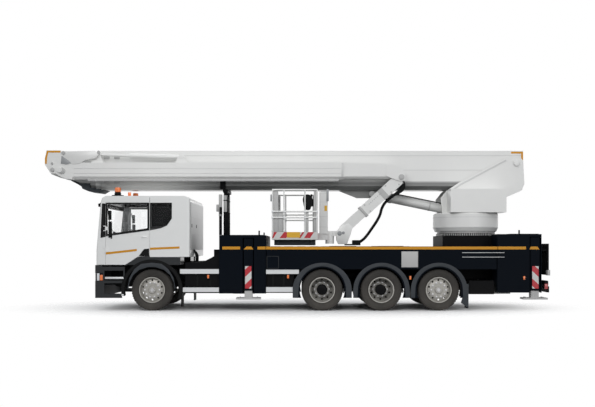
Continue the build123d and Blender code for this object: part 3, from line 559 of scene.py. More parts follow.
def choose(obj: Obj) -> None:
    """Select one object alone and make it active.

    Args:
        obj: the object.
    """
    deselect_all()
    obj.select_set(True)
    bpy.context.view_layer.objects.active = obj


def settle(obj: Obj) -> None:
    """Move an object's place, turn and scale into its mesh.

    Args:
        obj: the object.
    """
    choose(obj)
    bpy.ops.object.transform_apply(location=True, rotation=True, scale=True)


def apply_modifiers(obj: Obj) -> None:
    """Apply every modifier in order.

    Args:
        obj: the object.
    """
    choose(obj)
    for modifier in list(obj.modifiers):
        bpy.ops.object.modifier_apply(modifier=modifier.name)


def smooth(obj: Obj, angle: float = 30.0) -> None:
    """Shade smooth up to an angle.

    Args:
        obj: the object.
        angle: the largest smooth angle, in degrees.
    """
    choose(obj)
    bpy.ops.object.shade_smooth_by_angle(angle=math.radians(angle))


def face_outwards(obj: Obj) -> None:
    """Turn all faces outwards and weld doubled points.

    Args:
        obj: the object.
    """
    choose(obj)
    bpy.ops.object.mode_set(mode="EDIT")
    bpy.ops.mesh.select_all(action="SELECT")
    bpy.ops.mesh.remove_doubles(threshold=0.00002)
    bpy.ops.mesh.normals_make_consistent(inside=False)
    bpy.ops.object.mode_set(mode="OBJECT")


def round_edges(obj: Obj, width: float, segments: int = 2, sharper_than: float = 30.0) -> None:
    """Round an object's sharp edges.

    Args:
        obj: the object.
        width: bevel width, or nought for none.
        segments: bevel segments.
        sharper_than: only edges sharper than this are rounded, in degrees.
    """
    if not width:
        return
    bevel = obj.modifiers.new("edge", "BEVEL")
    bevel.width = width
    bevel.segments = segments
    bevel.limit_method = "ANGLE"
    bevel.angle_limit = math.radians(sharper_than)
    apply_modifiers(obj)


def rounded_box(low: Point, high: Point, edge: float = 0.004, segments: int = 2) -> Obj:
    """Box between two corners, with rounded edges.

    Args:
        low: lowest corner.
        high: highest corner.
        edge: bevel width.
        segments: bevel segments.

    Returns:
        The new object.
    """
    deselect_all()
    middle = [(a + b) / 2 for a, b in zip(low, high)]
    bpy.ops.mesh.primitive_cube_add(size=1.0, location=middle)
    obj = bpy.context.active_object
    obj.scale = [abs(b - a) for a, b in zip(low, high)]
    settle(obj)
    round_edges(obj, edge, segments)
    smooth(obj)
    return obj


def side_box(sign: int, x: Span, y: Span, z: Span, edge: float = 0.004, segments: int = 2) -> Obj:
    """Rounded box on one side of the truck.

    Args:
        sign: the side's sign of Y.
        x: its ends along X.
        y: its near and far distance from the truck's middle.
        z: its foot and top.
        edge: bevel width.
        segments: bevel segments.

    Returns:
        The new object.
    """
    y_low, y_high = sorted((sign * y[0], sign * y[1]))
    return rounded_box((x[0], y_low, z[0]), (x[1], y_high, z[1]), edge, segments)


def box_on_face(y: float, out: int, x: Span, z: Span, depth: Span, edge: float = 0.004) -> Obj:
    """Rounded box laid on a face that looks along Y.

    Args:
        y: the face's place.
        out: the sign of the way it looks.
        x: the box's ends along X.
        z: its foot and top.
        depth: how far it goes into the face and how far it stands out.
        edge: bevel width.

    Returns:
        The new object.
    """
    y_low, y_high = sorted((y - out * depth[0], y + out * depth[1]))
    return rounded_box((x[0], y_low, z[0]), (x[1], y_high, z[1]), edge)


def round_bar(start: Point, end: Point, radius: float, sides: int = 20, edge: float = 0.002) -> Obj:
    """Round bar between two points, with softened ends.

    Args:
        start: one end.
        end: the other end.
        radius: the bar's radius.
        sides: faces round it.
        edge: bevel width of its ends.

    Returns:
        The new object.
    """
    deselect_all()
    line = Vector(end) - Vector(start)
    bpy.ops.mesh.primitive_cylinder_add(
        vertices=sides, radius=radius, depth=line.length,
        location=(Vector(start) + Vector(end)) / 2,
        rotation=line.to_track_quat("Z", "Y").to_euler(),
    )
    obj = bpy.context.active_object
    settle(obj)
    round_edges(obj, edge, 2, 50)
    smooth(obj, 40)
    return obj


def cross_pin(
    place: tuple[float, float], y: Span, radius: float, sides: int = 20, edge: float = 0.002
) -> Obj:
    """Round pin that lies across the truck.

    Args:
        place: X and Z of its axis.
        y: where it starts and ends.
        radius: its radius.
        sides: faces round it.
        edge: bevel width of its ends.

    Returns:
        The new object.
    """
    x, z = place
    return round_bar((x, y[0], z), (x, y[1], z), radius, sides, edge)


def ring_places(
    middle: tuple[float, float], radius: float, count: int, turn: float = 0.0
) -> list[tuple[float, float]]:
    """Evenly spaced places round a circle.

    Args:
        middle: the circle's middle, in any plane.
        radius: its radius.
        count: how many places.
        turn: how far the first is turned, as a share of the spacing.

    Returns:
        The places.
    """
    angles = [2 * math.pi * (index + turn) / count for index in range(count)]
    return [
        (middle[0] + radius * math.cos(angle), middle[1] + radius * math.sin(angle))
        for angle in angles
    ]


def join(objects: list[Obj], name: str) -> Obj:
    """Join objects into one.

    Args:
        objects: the pieces.
        name: the joined object's name.

    Returns:
        The joined object.
    """
    deselect_all()
    for obj in objects:
        obj.select_set(True)
    bpy.context.view_layer.objects.active = objects[0]
    if len(objects) > 1:
        bpy.ops.object.join()
    obj = bpy.context.active_object
    obj.name = name
    obj.data.name = name
    return obj


def outline_plate(outline: Outline, y: Span, edge: float = 0.002) -> Obj:
    """Plate cut to an X, Z outline.

    Args:
        outline: X, Z corners in order.
        y: its lowest and highest Y.
        edge: bevel width of its rims.

    Returns:
        The new object.
    """
    deselect_all()
    bpy.ops.mesh.primitive_circle_add(vertices=len(outline), fill_type="NGON")
    obj = bpy.context.active_object
    middle = (y[0] + y[1]) / 2
    for vertex, (x, z) in zip(obj.data.vertices, outline):
        vertex.co = (x, middle, z)
    thick = obj.modifiers.new("thick", "SOLIDIFY")
    thick.thickness = abs(y[1] - y[0])
    thick.offset = 0.0
    apply_modifiers(obj)
    face_outwards(obj)
    round_edges(obj, edge)
    smooth(obj)
    return obj


def side_plate(sign: int, outline: Outline, y: Span, edge: float = 0.002) -> Obj:
    """Plate cut to an X, Z outline on one side of the truck.

    Args:
        sign: the side's sign of Y.
        outline: X, Z corners in order.
        y: its near and far distance from the truck's middle.
        edge: bevel width of its rims.

    Returns:
        The new object.
    """
    return outline_plate(outline, tuple(sorted((sign * y[0], sign * y[1]))), edge)


def cut_away(obj: Obj, tool: Obj) -> Obj:
    """Cut one object out of another and drop the tool.

    Args:
        obj: the object that is cut.
        tool: what is taken away.

    Returns:
        The cut object.
    """
    cut = obj.modifiers.new("cut", "BOOLEAN")
    cut.operation = "DIFFERENCE"
    cut.object = tool
    apply_modifiers(obj)
    bpy.data.objects.remove(tool)
    return obj


def lathe(
    profile: Outline,
    centre: Point,
    steps: int = 48,
    dent: Callable[[float, float, float], float] | None = None,
) -> Obj:
    """Closed ring turned about a line across the truck.

    Args:
        profile: radius and offset along Y, in order round the section.
        centre: a point on the line.
        steps: faces round the ring.
        dent: how far the radius drops at a radius, an offset and an angle.

    Returns:
        The new object.
    """
    deselect_all()
    count = len(profile)
    bpy.ops.mesh.primitive_grid_add(x_subdivisions=steps, y_subdivisions=count, size=2.0)
    obj = bpy.context.active_object
    for vertex in obj.data.vertices:
        turn = round((vertex.co.x + 1) / 2 * steps) % steps
        radius, across = profile[round((vertex.co.y + 1) / 2 * count) % count]
        angle = 2 * math.pi * turn / steps
        if dent is not None:
            radius -= dent(radius, across, angle)
        vertex.co = (
            centre[0] + radius * math.cos(angle),
            centre[1] + across,
            centre[2] + radius * math.sin(angle),
        )
    face_outwards(obj)
    smooth(obj, 35)
    return obj


def hose(route: tuple[Point, ...], radius: float) -> Obj:
    """Round hose along a smooth route.

    Args:
        route: the points it passes.
        radius: its radius.

    Returns:
        The hose as a mesh.
    """
    deselect_all()
    bpy.ops.curve.primitive_nurbs_path_add(location=(0.0, 0.0, 0.0))
    obj = bpy.context.active_object
    curve = obj.data
    curve.splines.clear()
    spline = curve.splines.new("NURBS")
    spline.points.add(len(route) - 1)
    for point, place in zip(spline.points, route):
        point.co = (*place, 1.0)
    spline.order_u = 3
    spline.use_endpoint_u = True
    curve.bevel_depth = radius
    curve.bevel_resolution = 4
    curve.use_fill_caps = True
    curve.resolution_u = 8
    choose(obj)
    bpy.ops.object.convert(target="MESH")
    obj = bpy.context.active_object
    smooth(obj, 40)
    return obj


def lamp_dome(foot: Point, radius: float, height: float) -> Obj:
    """Beacon lens with a domed top.

    Args:
        foot: middle of its foot.
        radius: its radius.
        height: its height.

    Returns:
        The new object.
    """
    top = (foot[0], foot[1], foot[2] + height)
    obj = round_bar(foot, top, radius, 28, 0.0)
    round_edges(obj, radius * 0.45, 6, 60)
    smooth(obj, 40)
    return obj


def upright_ring(centre: tuple[float, float], radius: float, z: Span, steps: int) -> Obj:
    """Thin band round an upright drum.

    Args:
        centre: X and Y of its axis.
        radius: its outer radius.
        z: its foot and top.
        steps: faces round it.

    Returns:
        The new object.
    """
    deselect_all()
    bpy.ops.mesh.primitive_cylinder_add(
        vertices=steps, radius=radius, depth=z[1] - z[0],
        location=(centre[0], centre[1], (z[0] + z[1]) / 2), end_fill_type="NOTHING",
    )
    obj = bpy.context.active_object
    settle(obj)
    thick = obj.modifiers.new("thick", "SOLIDIFY")
    thick.thickness = 0.006
    thick.offset = -1.0
    apply_modifiers(obj)
    face_outwards(obj)
    smooth(obj)
    return obj


def clip_band(outline: Outline, z_low: float, z_high: float) -> Outline:
    """Part of an X, Z outline between two heights.

    Args:
        outline: X, Z corners in order.
        z_low: lowest height kept.
        z_high: greatest height kept.

    Returns:
        The clipped corners, perhaps none.
    """
    for level, keep_above in ((z_low, True), (z_high, False)):
        kept = []
        for index, (x, z) in enumerate(outline):
            before_x, before_z = outline[index - 1]
            inside = z >= level if keep_above else z <= level
            was_inside = before_z >= level if keep_above else before_z <= level
            if inside != was_inside:
                share = (level - before_z) / (z - before_z)
                kept.append((before_x + share * (x - before_x), level))
            if inside:
                kept.append((x, z))
        outline = kept
        if len(outline) < 3:
            return []
    return outline


def slanted_panels(
    low: Point, high: Point, count: int, lean: float, shift: float = 0.0
) -> tuple[list[Obj], list[Obj]]:
    """Thin sign face of slanted stripes in two alternating colours.

    Args:
        low: the face's lowest corner.
        high: the face's highest corner.
        count: how many stripes stand in its height.
        lean: how far a stripe climbs across the face's X span, as a share of its pitch.
        shift: how far the pattern is lowered, as a share of its pitch.

    Returns:
        The pieces of the first colour and of the second.
    """
    pitch = (high[2] - low[2]) / count
    rise = lean * pitch
    first, second = [], []
    for index in range(-2, count + 4):
        foot = low[2] + (index - shift) * pitch
        corners = clip_band(
            [(low[0], foot), (high[0], foot + rise), (high[0], foot + rise + pitch),
             (low[0], foot + pitch)],
            low[2], high[2],
        )
        if len(corners) > 2:
            piece = outline_plate(corners, (low[1], high[1]), 0.0)
            (first if index % 2 else second).append(piece)
    return first, second


def frame_strips(x: Span, z: Span, width: float) -> list[tuple[Span, Span]]:
    """Four strips round a rectangle's rim.

    Args:
        x: the rectangle's ends along X.
        z: its foot and top.
        width: the strips' width.

    Returns:
        X span and Z span of each strip.
    """
    return [
        (x, (z[0], z[0] + width)), (x, (z[1] - width, z[1])),
        ((x[0], x[0] + width), z), ((x[1] - width, x[1]), z),
    ]


@dataclass
class Workshop:
    """Where pieces are finished: it knows the palette.

    Args:
        palette: the finishes.
        made: how many pieces it has finished.
    """

    palette: Palette
    made: int = 0

    def fit(self, objects: list[Obj], name: str, finish: str, body: str = "chassis") -> Obj:
        """Join, paint and hang pieces on a CAD body.

        Args:
            objects: the pieces.
            name: the finished piece's name.
            finish: its finish.
            body: the CAD body that it rides on.

        Returns:
            The finished piece.
        """
        obj = join(objects, name)
        self.palette.paint(obj, finish)
        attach(obj, body)
        self.made += 1
        return obj


@dataclass
class Trim(ABC):
    """A set of pieces that the CAD leaves out.

    Args:
        shop: the workshop.
    """

    shop: Workshop

    @abstractmethod
    def build(self) -> None:
        """Make the pieces and fit them."""


# ---- CAD nodes -------------------------------------------------------------
NODE_FINISH = {
    "cab_shell": "cab_shell_paint",
    "door_left": "cab_shell_paint",
    "door_right": "cab_shell_paint",
    "main_boom_base": "boom_paint",
    "main_boom_top": "boom_paint",
    "luff_rod": "chrome_rod",
    "jack_front_left": "light_grey",
    "jack_front_right": "light_grey",
    "jack_rear_left": "light_grey",
    "jack_rear_right": "light_grey",
    "slewing_ring": "gear_steel",
    "bumper_steps": "bumper_plastic",
}


@dataclass
class CadNodes:
    """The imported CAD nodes, painted by their record slots.

    Args:
        palette: the finishes.
        edge_angle: the largest angle shaded smooth, in degrees.
    """

    frame: dict
    palette: Palette
    edge_angle: float = 32.0

    def dress(self) -> None:
        """Paint every node and shade its round faces smooth."""
        slots = {
            part["node"]: part["material_slot"] for part in self.frame["record"]["subparts"]
        }
        for name, obj in self.frame["nodes"].items():
            self.palette.paint(obj, NODE_FINISH.get(name, slots[name]))
            smooth(obj, self.edge_angle)


# ---- wheels ----------------------------------------------------------------
@dataclass(frozen=True)
class WheelPlace:
    """One wheel position.

    Args:
        axle: axle name.
        side: side of the truck.
        kind: steered single or driven twin.
    """

    axle: str
    side: Side
    kind: WheelKind

    @property
    def middle(self) -> tuple[float, float]:
        """X and Z of the wheel's axis."""
        return AXLE_X[self.axle], WHEEL_HEIGHT

    @property
    def body(self) -> str:
        """The CAD body's name."""
        return f"wheel_{self.axle}_{self.side.label}"

    @property
    def node(self) -> str:
        """The tyre's CAD node."""
        return f"tyre_{self.axle}_{self.side.label}"


@dataclass
class Wheels(Trim):
    """Grooved tyres, wheel nuts, brake drums, hub caps and valves.

    Args:
        track: wheel centre from the truck's middle.
        twin_spacing: between twin tyres.
        lugs: shoulder lugs round a tyre.
        grooves: offsets of the tread's grooves from the tyre's middle.
        nut_circle: radius of the circle of wheel nuts.
    """

    track: float = 1.0835
    twin_spacing: float = 0.34
    lugs: int = 48
    grooves: tuple[float, ...] = (-0.066, -0.022, 0.022, 0.066)
    nut_circle: float = 0.1675

    def section(self) -> Outline:
        """Tyre section.

        Returns:
            Radius and offset from the tyre's middle, in order round the section.
        """
        wall = [
            (0.2865, 0.110), (0.292, 0.1175), (0.306, 0.126), (0.318, 0.137), (0.321, 0.1405),
            (0.329, 0.1405), (0.345, 0.149), (0.372, 0.1545), (0.396, 0.1555), (0.398, 0.1562),
            (0.404, 0.1562), (0.406, 0.1548), (0.428, 0.1525), (0.440, 0.1500), (0.462, 0.1400),
            (0.4725, 0.1290), (0.4785, 0.1080),
        ]
        tread = []
        for groove in reversed(self.grooves):
            tread += [
                (0.4797, groove + 0.0065), (0.4660, groove + 0.0045),
                (0.4660, groove - 0.0045), (0.4797, groove - 0.0065),
            ]
        mirrored = [(radius, -across) for radius, across in reversed(wall)]
        return wall + tread + mirrored

    def lug_dent(self, radius: float, across: float, angle: float) -> float:
        """Radial drop of the gaps between shoulder lugs.

        Args:
            radius: radius on the section.
            across: offset from the tyre's middle.
            angle: angle round the tyre.

        Returns:
            The drop.
        """
        phase = (angle * self.lugs / (2 * math.pi)) % 1.0
        in_gap = radius > 0.455 and abs(across) > 0.07 and phase < 0.26
        return 0.010 if in_gap else 0.0

    def tyre(self, place: WheelPlace, middle_y: float) -> Obj:
        """One grooved tyre.

        Args:
            place: the wheel position.
            middle_y: the tyre's middle along Y.

        Returns:
            The tyre.
        """
        x, z = place.middle
        return lathe(self.section(), (x, middle_y, z), self.lugs * 4, self.lug_dent)

    def nuts(self, place: WheelPlace, face: float, reach: float) -> list[Obj]:
        """Ring of ten wheel nuts on the disc.

        Args:
            place: the wheel position.
            face: the disc's outer face, from the truck's middle.
            reach: how far the nuts stand out.

        Returns:
            The nuts.
        """
        made = []
        sign = place.side.value
        start = sign * (face - 0.004)
        for spot in ring_places(place.middle, self.nut_circle, 10):
            made.append(cross_pin(spot, (start, sign * (face + 0.012)), 0.023))
            made.append(cross_pin(spot, (start, sign * (face + reach)), 0.0155, 6, 0.003))
        return made

    def boss(self, place: WheelPlace, hub_out: float) -> Obj:
        """Round boss in the middle of the hub.

        Args:
            place: the wheel position.
            hub_out: the hub's end, from the tyre's middle.

        Returns:
            The boss.
        """
        sign = place.side.value
        profile = [
            (radius, sign * (hub_out + out))
            for radius, out in (
                (0.004, -0.01), (0.004, 0.010), (0.036, 0.010), (0.042, 0.004), (0.044, -0.01),
            )
        ]
        x, z = place.middle
        return lathe(profile, (x, sign * self.track, z), 40)

    def build_one(self, place: WheelPlace) -> None:
        """Dress one wheel position.

        Args:
            place: the wheel position.
        """
        sign = place.side.value
        steered = place.kind is WheelKind.STEERED
        tyres = [self.tyre(place, sign * self.track)]
        if not steered:
            tyres.append(self.tyre(place, sign * (self.track - self.twin_spacing)))
        rubber = self.shop.fit(tyres, f"road_{place.node}", "tyre_rubber", place.body)
        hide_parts(place.node)
        disc_out, hub_out, cap_circle = (0.104, 0.140, 0.06) if steered else (-0.154, 0.055, 0.08)
        face = self.track + disc_out
        self.shop.fit(
            self.nuts(place, face, 0.036), f"nuts_{place.body}", "machined_steel", place.body
        )
        hub_y = self.track + hub_out
        flange = [
            cross_pin(spot, (sign * (hub_y - 0.004), sign * (hub_y + 0.006)), 0.009, 6)
            for spot in ring_places(place.middle, cap_circle, 8, 0.5)
        ]
        cap = [*flange, self.boss(place, hub_out)]
        drum = (sign * (face - 0.14), sign * (face - 0.03))
        dark = [cross_pin(place.middle, drum, 0.205, 48, 0.006)]
        if not steered:
            cover = (sign * (face - 0.02), sign * (hub_y + 0.004))
            dark.append(cross_pin(place.middle, cover, 0.122, 48, 0.014))
        self.shop.fit(dark, f"brake_drum_{place.body}", "black_steel", place.body)
        finish = "machined_steel" if steered else "black_steel"
        self.shop.fit(cap, f"hub_cap_{place.body}", finish, place.body)
        x, z = place.middle
        valve = round_bar(
            (x + 0.205, sign * (face - 0.01), z - 0.12),
            (x + 0.205 + 0.012, sign * (face + 0.03), z - 0.125), 0.005, 10,
        )
        self.shop.fit([valve], f"valve_{place.body}", "black_plastic", place.body)

    def build(self) -> None:
        """Dress every wheel."""
        for axle in AXLE_X:
            kind = WheelKind.TWIN if axle.startswith("drive") else WheelKind.STEERED
            for side in Side:
                self.build_one(WheelPlace(axle, side, kind))


# ---- cab -------------------------------------------------------------------
@dataclass
class CabTrim(Trim):
    """Window frames, stripes, mirrors, lamps, wipers, handles, sills and grille bars.

    Args:
        skin: the cab side's distance from the middle.
        sink: how far thin layers go into the skin.
    """

    skin: float = 1.25
    sink: float = 0.002

    def layer(self, depth: float) -> Span:
        """Near and far distance of a thin layer on the cab's side.

        Args:
            depth: the layer's thickness.

        Returns:
            The two distances from the truck's middle.
        """
        return skin_layer(self.skin, depth, self.sink)

    def window_band(self) -> None:
        """Black frames round the door and the rear side windows."""
        door_band = [(4.297, 1.716), (4.297, 2.492), (3.296, 2.492), (3.296, 1.856)]
        door_hole = [(4.262, 1.772), (4.262, 2.455), (3.340, 2.455), (3.340, 1.915), (3.360, 1.900)]
        rear_band = [
            (3.280, 1.857), (3.034, 1.904), (2.889, 1.967), (2.776, 2.130), (2.776, 2.492),
            (3.280, 2.492),
        ]
        rear_hole = [
            (3.250, 1.945), (3.250, 2.455), (2.800, 2.455), (2.800, 2.150), (2.905, 1.985),
            (3.040, 1.945),
        ]
        near, far = self.layer(0.005)
        for side in Side:
            for outline, hole, label, body in (
                (door_band, door_hole, "door", f"door_{side.label}"),
                (rear_band, rear_hole, "rear", "chassis"),
            ):
                band = side_plate(side.value, outline, (near, far), 0.0)
                tool = side_plate(side.value, hole, (near - 0.05, far + 0.05), 0.0)
                name = f"{label}_window_frame_{side.label}"
                self.shop.fit([cut_away(band, tool)], name, "black_gloss", body)

    def windscreen_frame(self) -> None:
        """Black corner panels, the rubber round the windscreen and two wipers."""
        corner = [(4.303, 1.709), (4.303, 2.475), (4.385, 2.475), (4.42, 1.68)]
        for side in Side:
            panel = side_plate(side.value, corner, self.layer(0.005), 0.0)
            self.shop.fit([panel], f"front_pillar_{side.label}", "black_gloss")
        half = 1.137
        pieces = [
            round_bar(start, end, 0.012, 12)
            for start, end in (
                ((4.503, -half, 1.680), (4.428, -half, 2.480)),
                ((4.503, half, 1.680), (4.428, half, 2.480)),
                ((4.503, -half, 1.678), (4.503, half, 1.678)),
                ((4.430, -half, 2.482), (4.430, half, 2.482)),
            )
        ]
        for y in (-0.75, 0.15):
            pieces.append(round_bar((4.512, y, 1.645), (4.500, y + 0.62, 1.800), 0.008, 10))
            pieces.append(round_bar((4.496, y + 0.25, 1.708), (4.472, y + 0.86, 2.010), 0.006, 8))
            pieces.append(round_bar((4.480, y, 1.645), (4.520, y, 1.645), 0.018, 14))
        self.shop.fit(pieces, "windscreen_frame", "black_plastic")

    def stripes(self) -> None:
        """Orange line from the door's front edge to the cab's rear edge."""
        rows = (  # label, x front, z front, x rear, z rear
            ("door", 4.296, 1.323, 3.585, 1.403),
            ("cab", 3.280, 1.431, 2.600, 1.460),
        )
        half = 0.025
        for side in Side:
            for label, x0, z0, x1, z1 in rows:
                strip = side_plate(
                    side.value,
                    [(x0, z0 - half), (x0, z0 + half), (x1, z1 + half), (x1, z1 - half)],
                    self.layer(0.003), 0.0,
                )
                body = f"door_{side.label}" if label == "door" else "chassis"
                self.shop.fit([strip], f"{label}_stripe_{side.label}", "orange_stripe", body)

    def door_rear_patch(self) -> None:
        """Black guard at the door's rear lower corner, with the handle above."""
        outline = [(3.540, 1.262), (3.455, 1.375), (3.413, 1.426), (3.300, 1.436), (3.300, 1.270)]
        for side in Side:
            sign, body = side.value, f"door_{side.label}"
            guard = side_plate(sign, outline, self.layer(0.006), 0.0)
            cup = side_box(sign, (3.335, 3.485), (1.247, 1.2555), (1.662, 1.732))
            grip_y = sign * 1.262
            grip = round_bar((3.350, grip_y, 1.705), (3.470, grip_y, 1.705), 0.008, 12, 0.003)
            self.shop.fit([guard], f"door_guard_{side.label}", "black_plastic", body)
            self.shop.fit([cup, grip], f"door_handle_{side.label}", "cab_shell_paint", body)

    def mirrors(self) -> None:
        """Mirror arms and housings, folded flat to the doors."""
        depth = (1.2560, 1.2740)
        for side in Side:
            sign = side.value
            arm_y = sign * 1.2640
            pieces = [
                side_box(sign, (4.150, 4.236), depth, (1.690, 2.060), 0.008, 3),
                side_box(sign, (4.162, 4.240), depth, (2.095, 2.310), 0.008, 3),
                round_bar((4.252, arm_y, 2.345), (4.163, arm_y, 1.668), 0.009, 12),
            ]
            for foot in ((4.252, 2.340), (4.166, 1.675)):
                pieces.append(cross_pin(foot, (sign * 1.245, sign * 1.266), 0.014, 14))
            name = f"mirror_{side.label}"
            self.shop.fit(pieces, name, "black_plastic", f"door_{side.label}")

    def lamps(self) -> None:
        """Head lamps, indicators, beacon lenses and roof markers."""
        clear, amber = [], []
        beacon_x, beacon_y = 4.085, 0.98
        for side in Side:
            sign = side.value
            clear.append(side_box(sign, (4.440, 4.500), (1.262, 1.2715), (0.698, 0.866)))
            clear.append(side_box(sign, (4.535, 4.5485), (1.060, 1.205), (0.702, 0.862)))
            amber.append(side_box(sign, (4.364, 4.432), (1.262, 1.2715), (0.704, 0.830)))
            amber.append(lamp_dome((beacon_x, sign * beacon_y, 2.735), 0.071, 0.133))
            marker_z = (2.648, 2.745)
            amber.append(side_box(sign, (3.750, 3.820), (1.050, 1.120), marker_z, 0.014, 3))
        collars = [
            round_bar((beacon_x, y, 2.680), (beacon_x, y, 2.735), 0.075, 28, 0.004)
            for y in (-beacon_y, beacon_y)
        ]
        self.shop.fit(collars, "beacon_collars", "black_plastic")
        self.shop.fit(clear, "head_lamp_lenses", "clear_lens")
        self.shop.fit(amber, "amber_lamps", "amber_lens")

    def grille(self) -> None:
        """Dark mesh behind the grille slots, and slim bars between them."""
        mesh = [rounded_box((4.470, -0.70, 1.115), (4.484, 0.70, 1.470), 0.0)]
        for row in range(5):
            z = 1.120 + row * 0.074
            x = 4.517 if z < 1.38 else 4.517 - (z - 1.38) * 0.077
            mesh.append(
                round_bar((x - 0.012, -0.69, z + 0.022), (x - 0.012, 0.69, z + 0.022), 0.006)
            )
        self.shop.fit(mesh, "grille_mesh", "black_plastic")

    def inside(self) -> None:
        """Rear blinds and headrests."""
        signs = [side.value for side in Side]
        blinds = [side_box(s, (2.79, 3.26), (1.196, 1.204), (1.94, 2.46), 0.001) for s in signs]
        rests = [side_box(s, (3.275, 3.345), (0.50, 0.75), (2.16, 2.33), 0.025, 4) for s in signs]
        self.shop.fit(blinds, "rear_blinds", "black_plastic")
        self.shop.fit(rests, "head_rests", "seat_fabric")

    def rear_wall(self) -> None:
        """Rear wall panel in a darker white as painted shade, with its latches, and the hoses at
        its foot.
        """
        # Painted shade: the rear wall panel takes the darker white, as the wall faces away from the
        # light.
        panel = [rounded_box((2.352, -1.12, 1.40), (2.360, 1.12, 2.52))]
        for z in (1.78, 2.16):
            panel.append(rounded_box((2.350, -1.10, z), (2.356, 1.10, z + 0.012), 0.002))
        self.shop.fit(panel, "cab_rear_panel", "white_shade")
        latches = [
            rounded_box((2.346, y - 0.03, 1.93), (2.354, y + 0.03, 2.01)) for y in (0.22, 1.0)
        ]
        self.shop.fit(latches, "cab_rear_latches", "black_plastic")
        lines = [
            hose(
                ((2.356, y, 1.36 + 0.02 * index), (2.300, y, 1.30), (2.290, y + 0.05, 1.18),
                 (2.300, y + 0.02, 1.05)), 0.016,
            )
            for index, y in enumerate((0.30, 0.42, 0.54, 0.66))
        ]
        self.shop.fit(lines, "cab_rear_hoses", "black_plastic")

    def seams(self) -> None:
        """Step nosings, roof seam and the dark sills over the front arch."""
        signs = [side.value for side in Side]
        treads = [
            side_box(sign, (3.885, 4.317), (1.236, 1.2660), z)
            for sign in signs for z in ((0.345, 0.385), (0.736, 0.782))
        ]
        self.shop.fit(treads, "step_nosings", "aluminium")
        joint_x = (3.283, 3.291)
        seams = [side_box(s, joint_x, (1.249, 1.2515), (2.500, 2.612), 0.0) for s in signs]
        seams.append(
            rounded_box((joint_x[0], -1.15, 2.648), (joint_x[1], 1.15, 2.6515), 0.0)
        )
        self.shop.fit(seams, "roof_seam", "guard_plastic")
        sill = [
            (2.580, 1.060), (2.970, 1.060), (3.100, 1.085), (3.240, 1.092), (3.380, 1.085),
            (3.510, 1.060), (3.845, 1.060), (3.563, 1.240), (3.290, 1.282), (3.280, 1.242),
            (2.580, 1.242),
        ]
        sills = [side_plate(sign, sill, (1.2500, 1.2540), 0.0) for sign in signs]
        self.shop.fit(sills, "door_sills", "bumper_plastic")

    def build(self) -> None:
        """Fit all the cab's trim."""
        self.window_band()
        self.windscreen_frame()
        self.stripes()
        self.door_rear_patch()
        self.mirrors()
        self.lamps()
        self.grille()
        self.inside()
        self.rear_wall()
        self.seams()


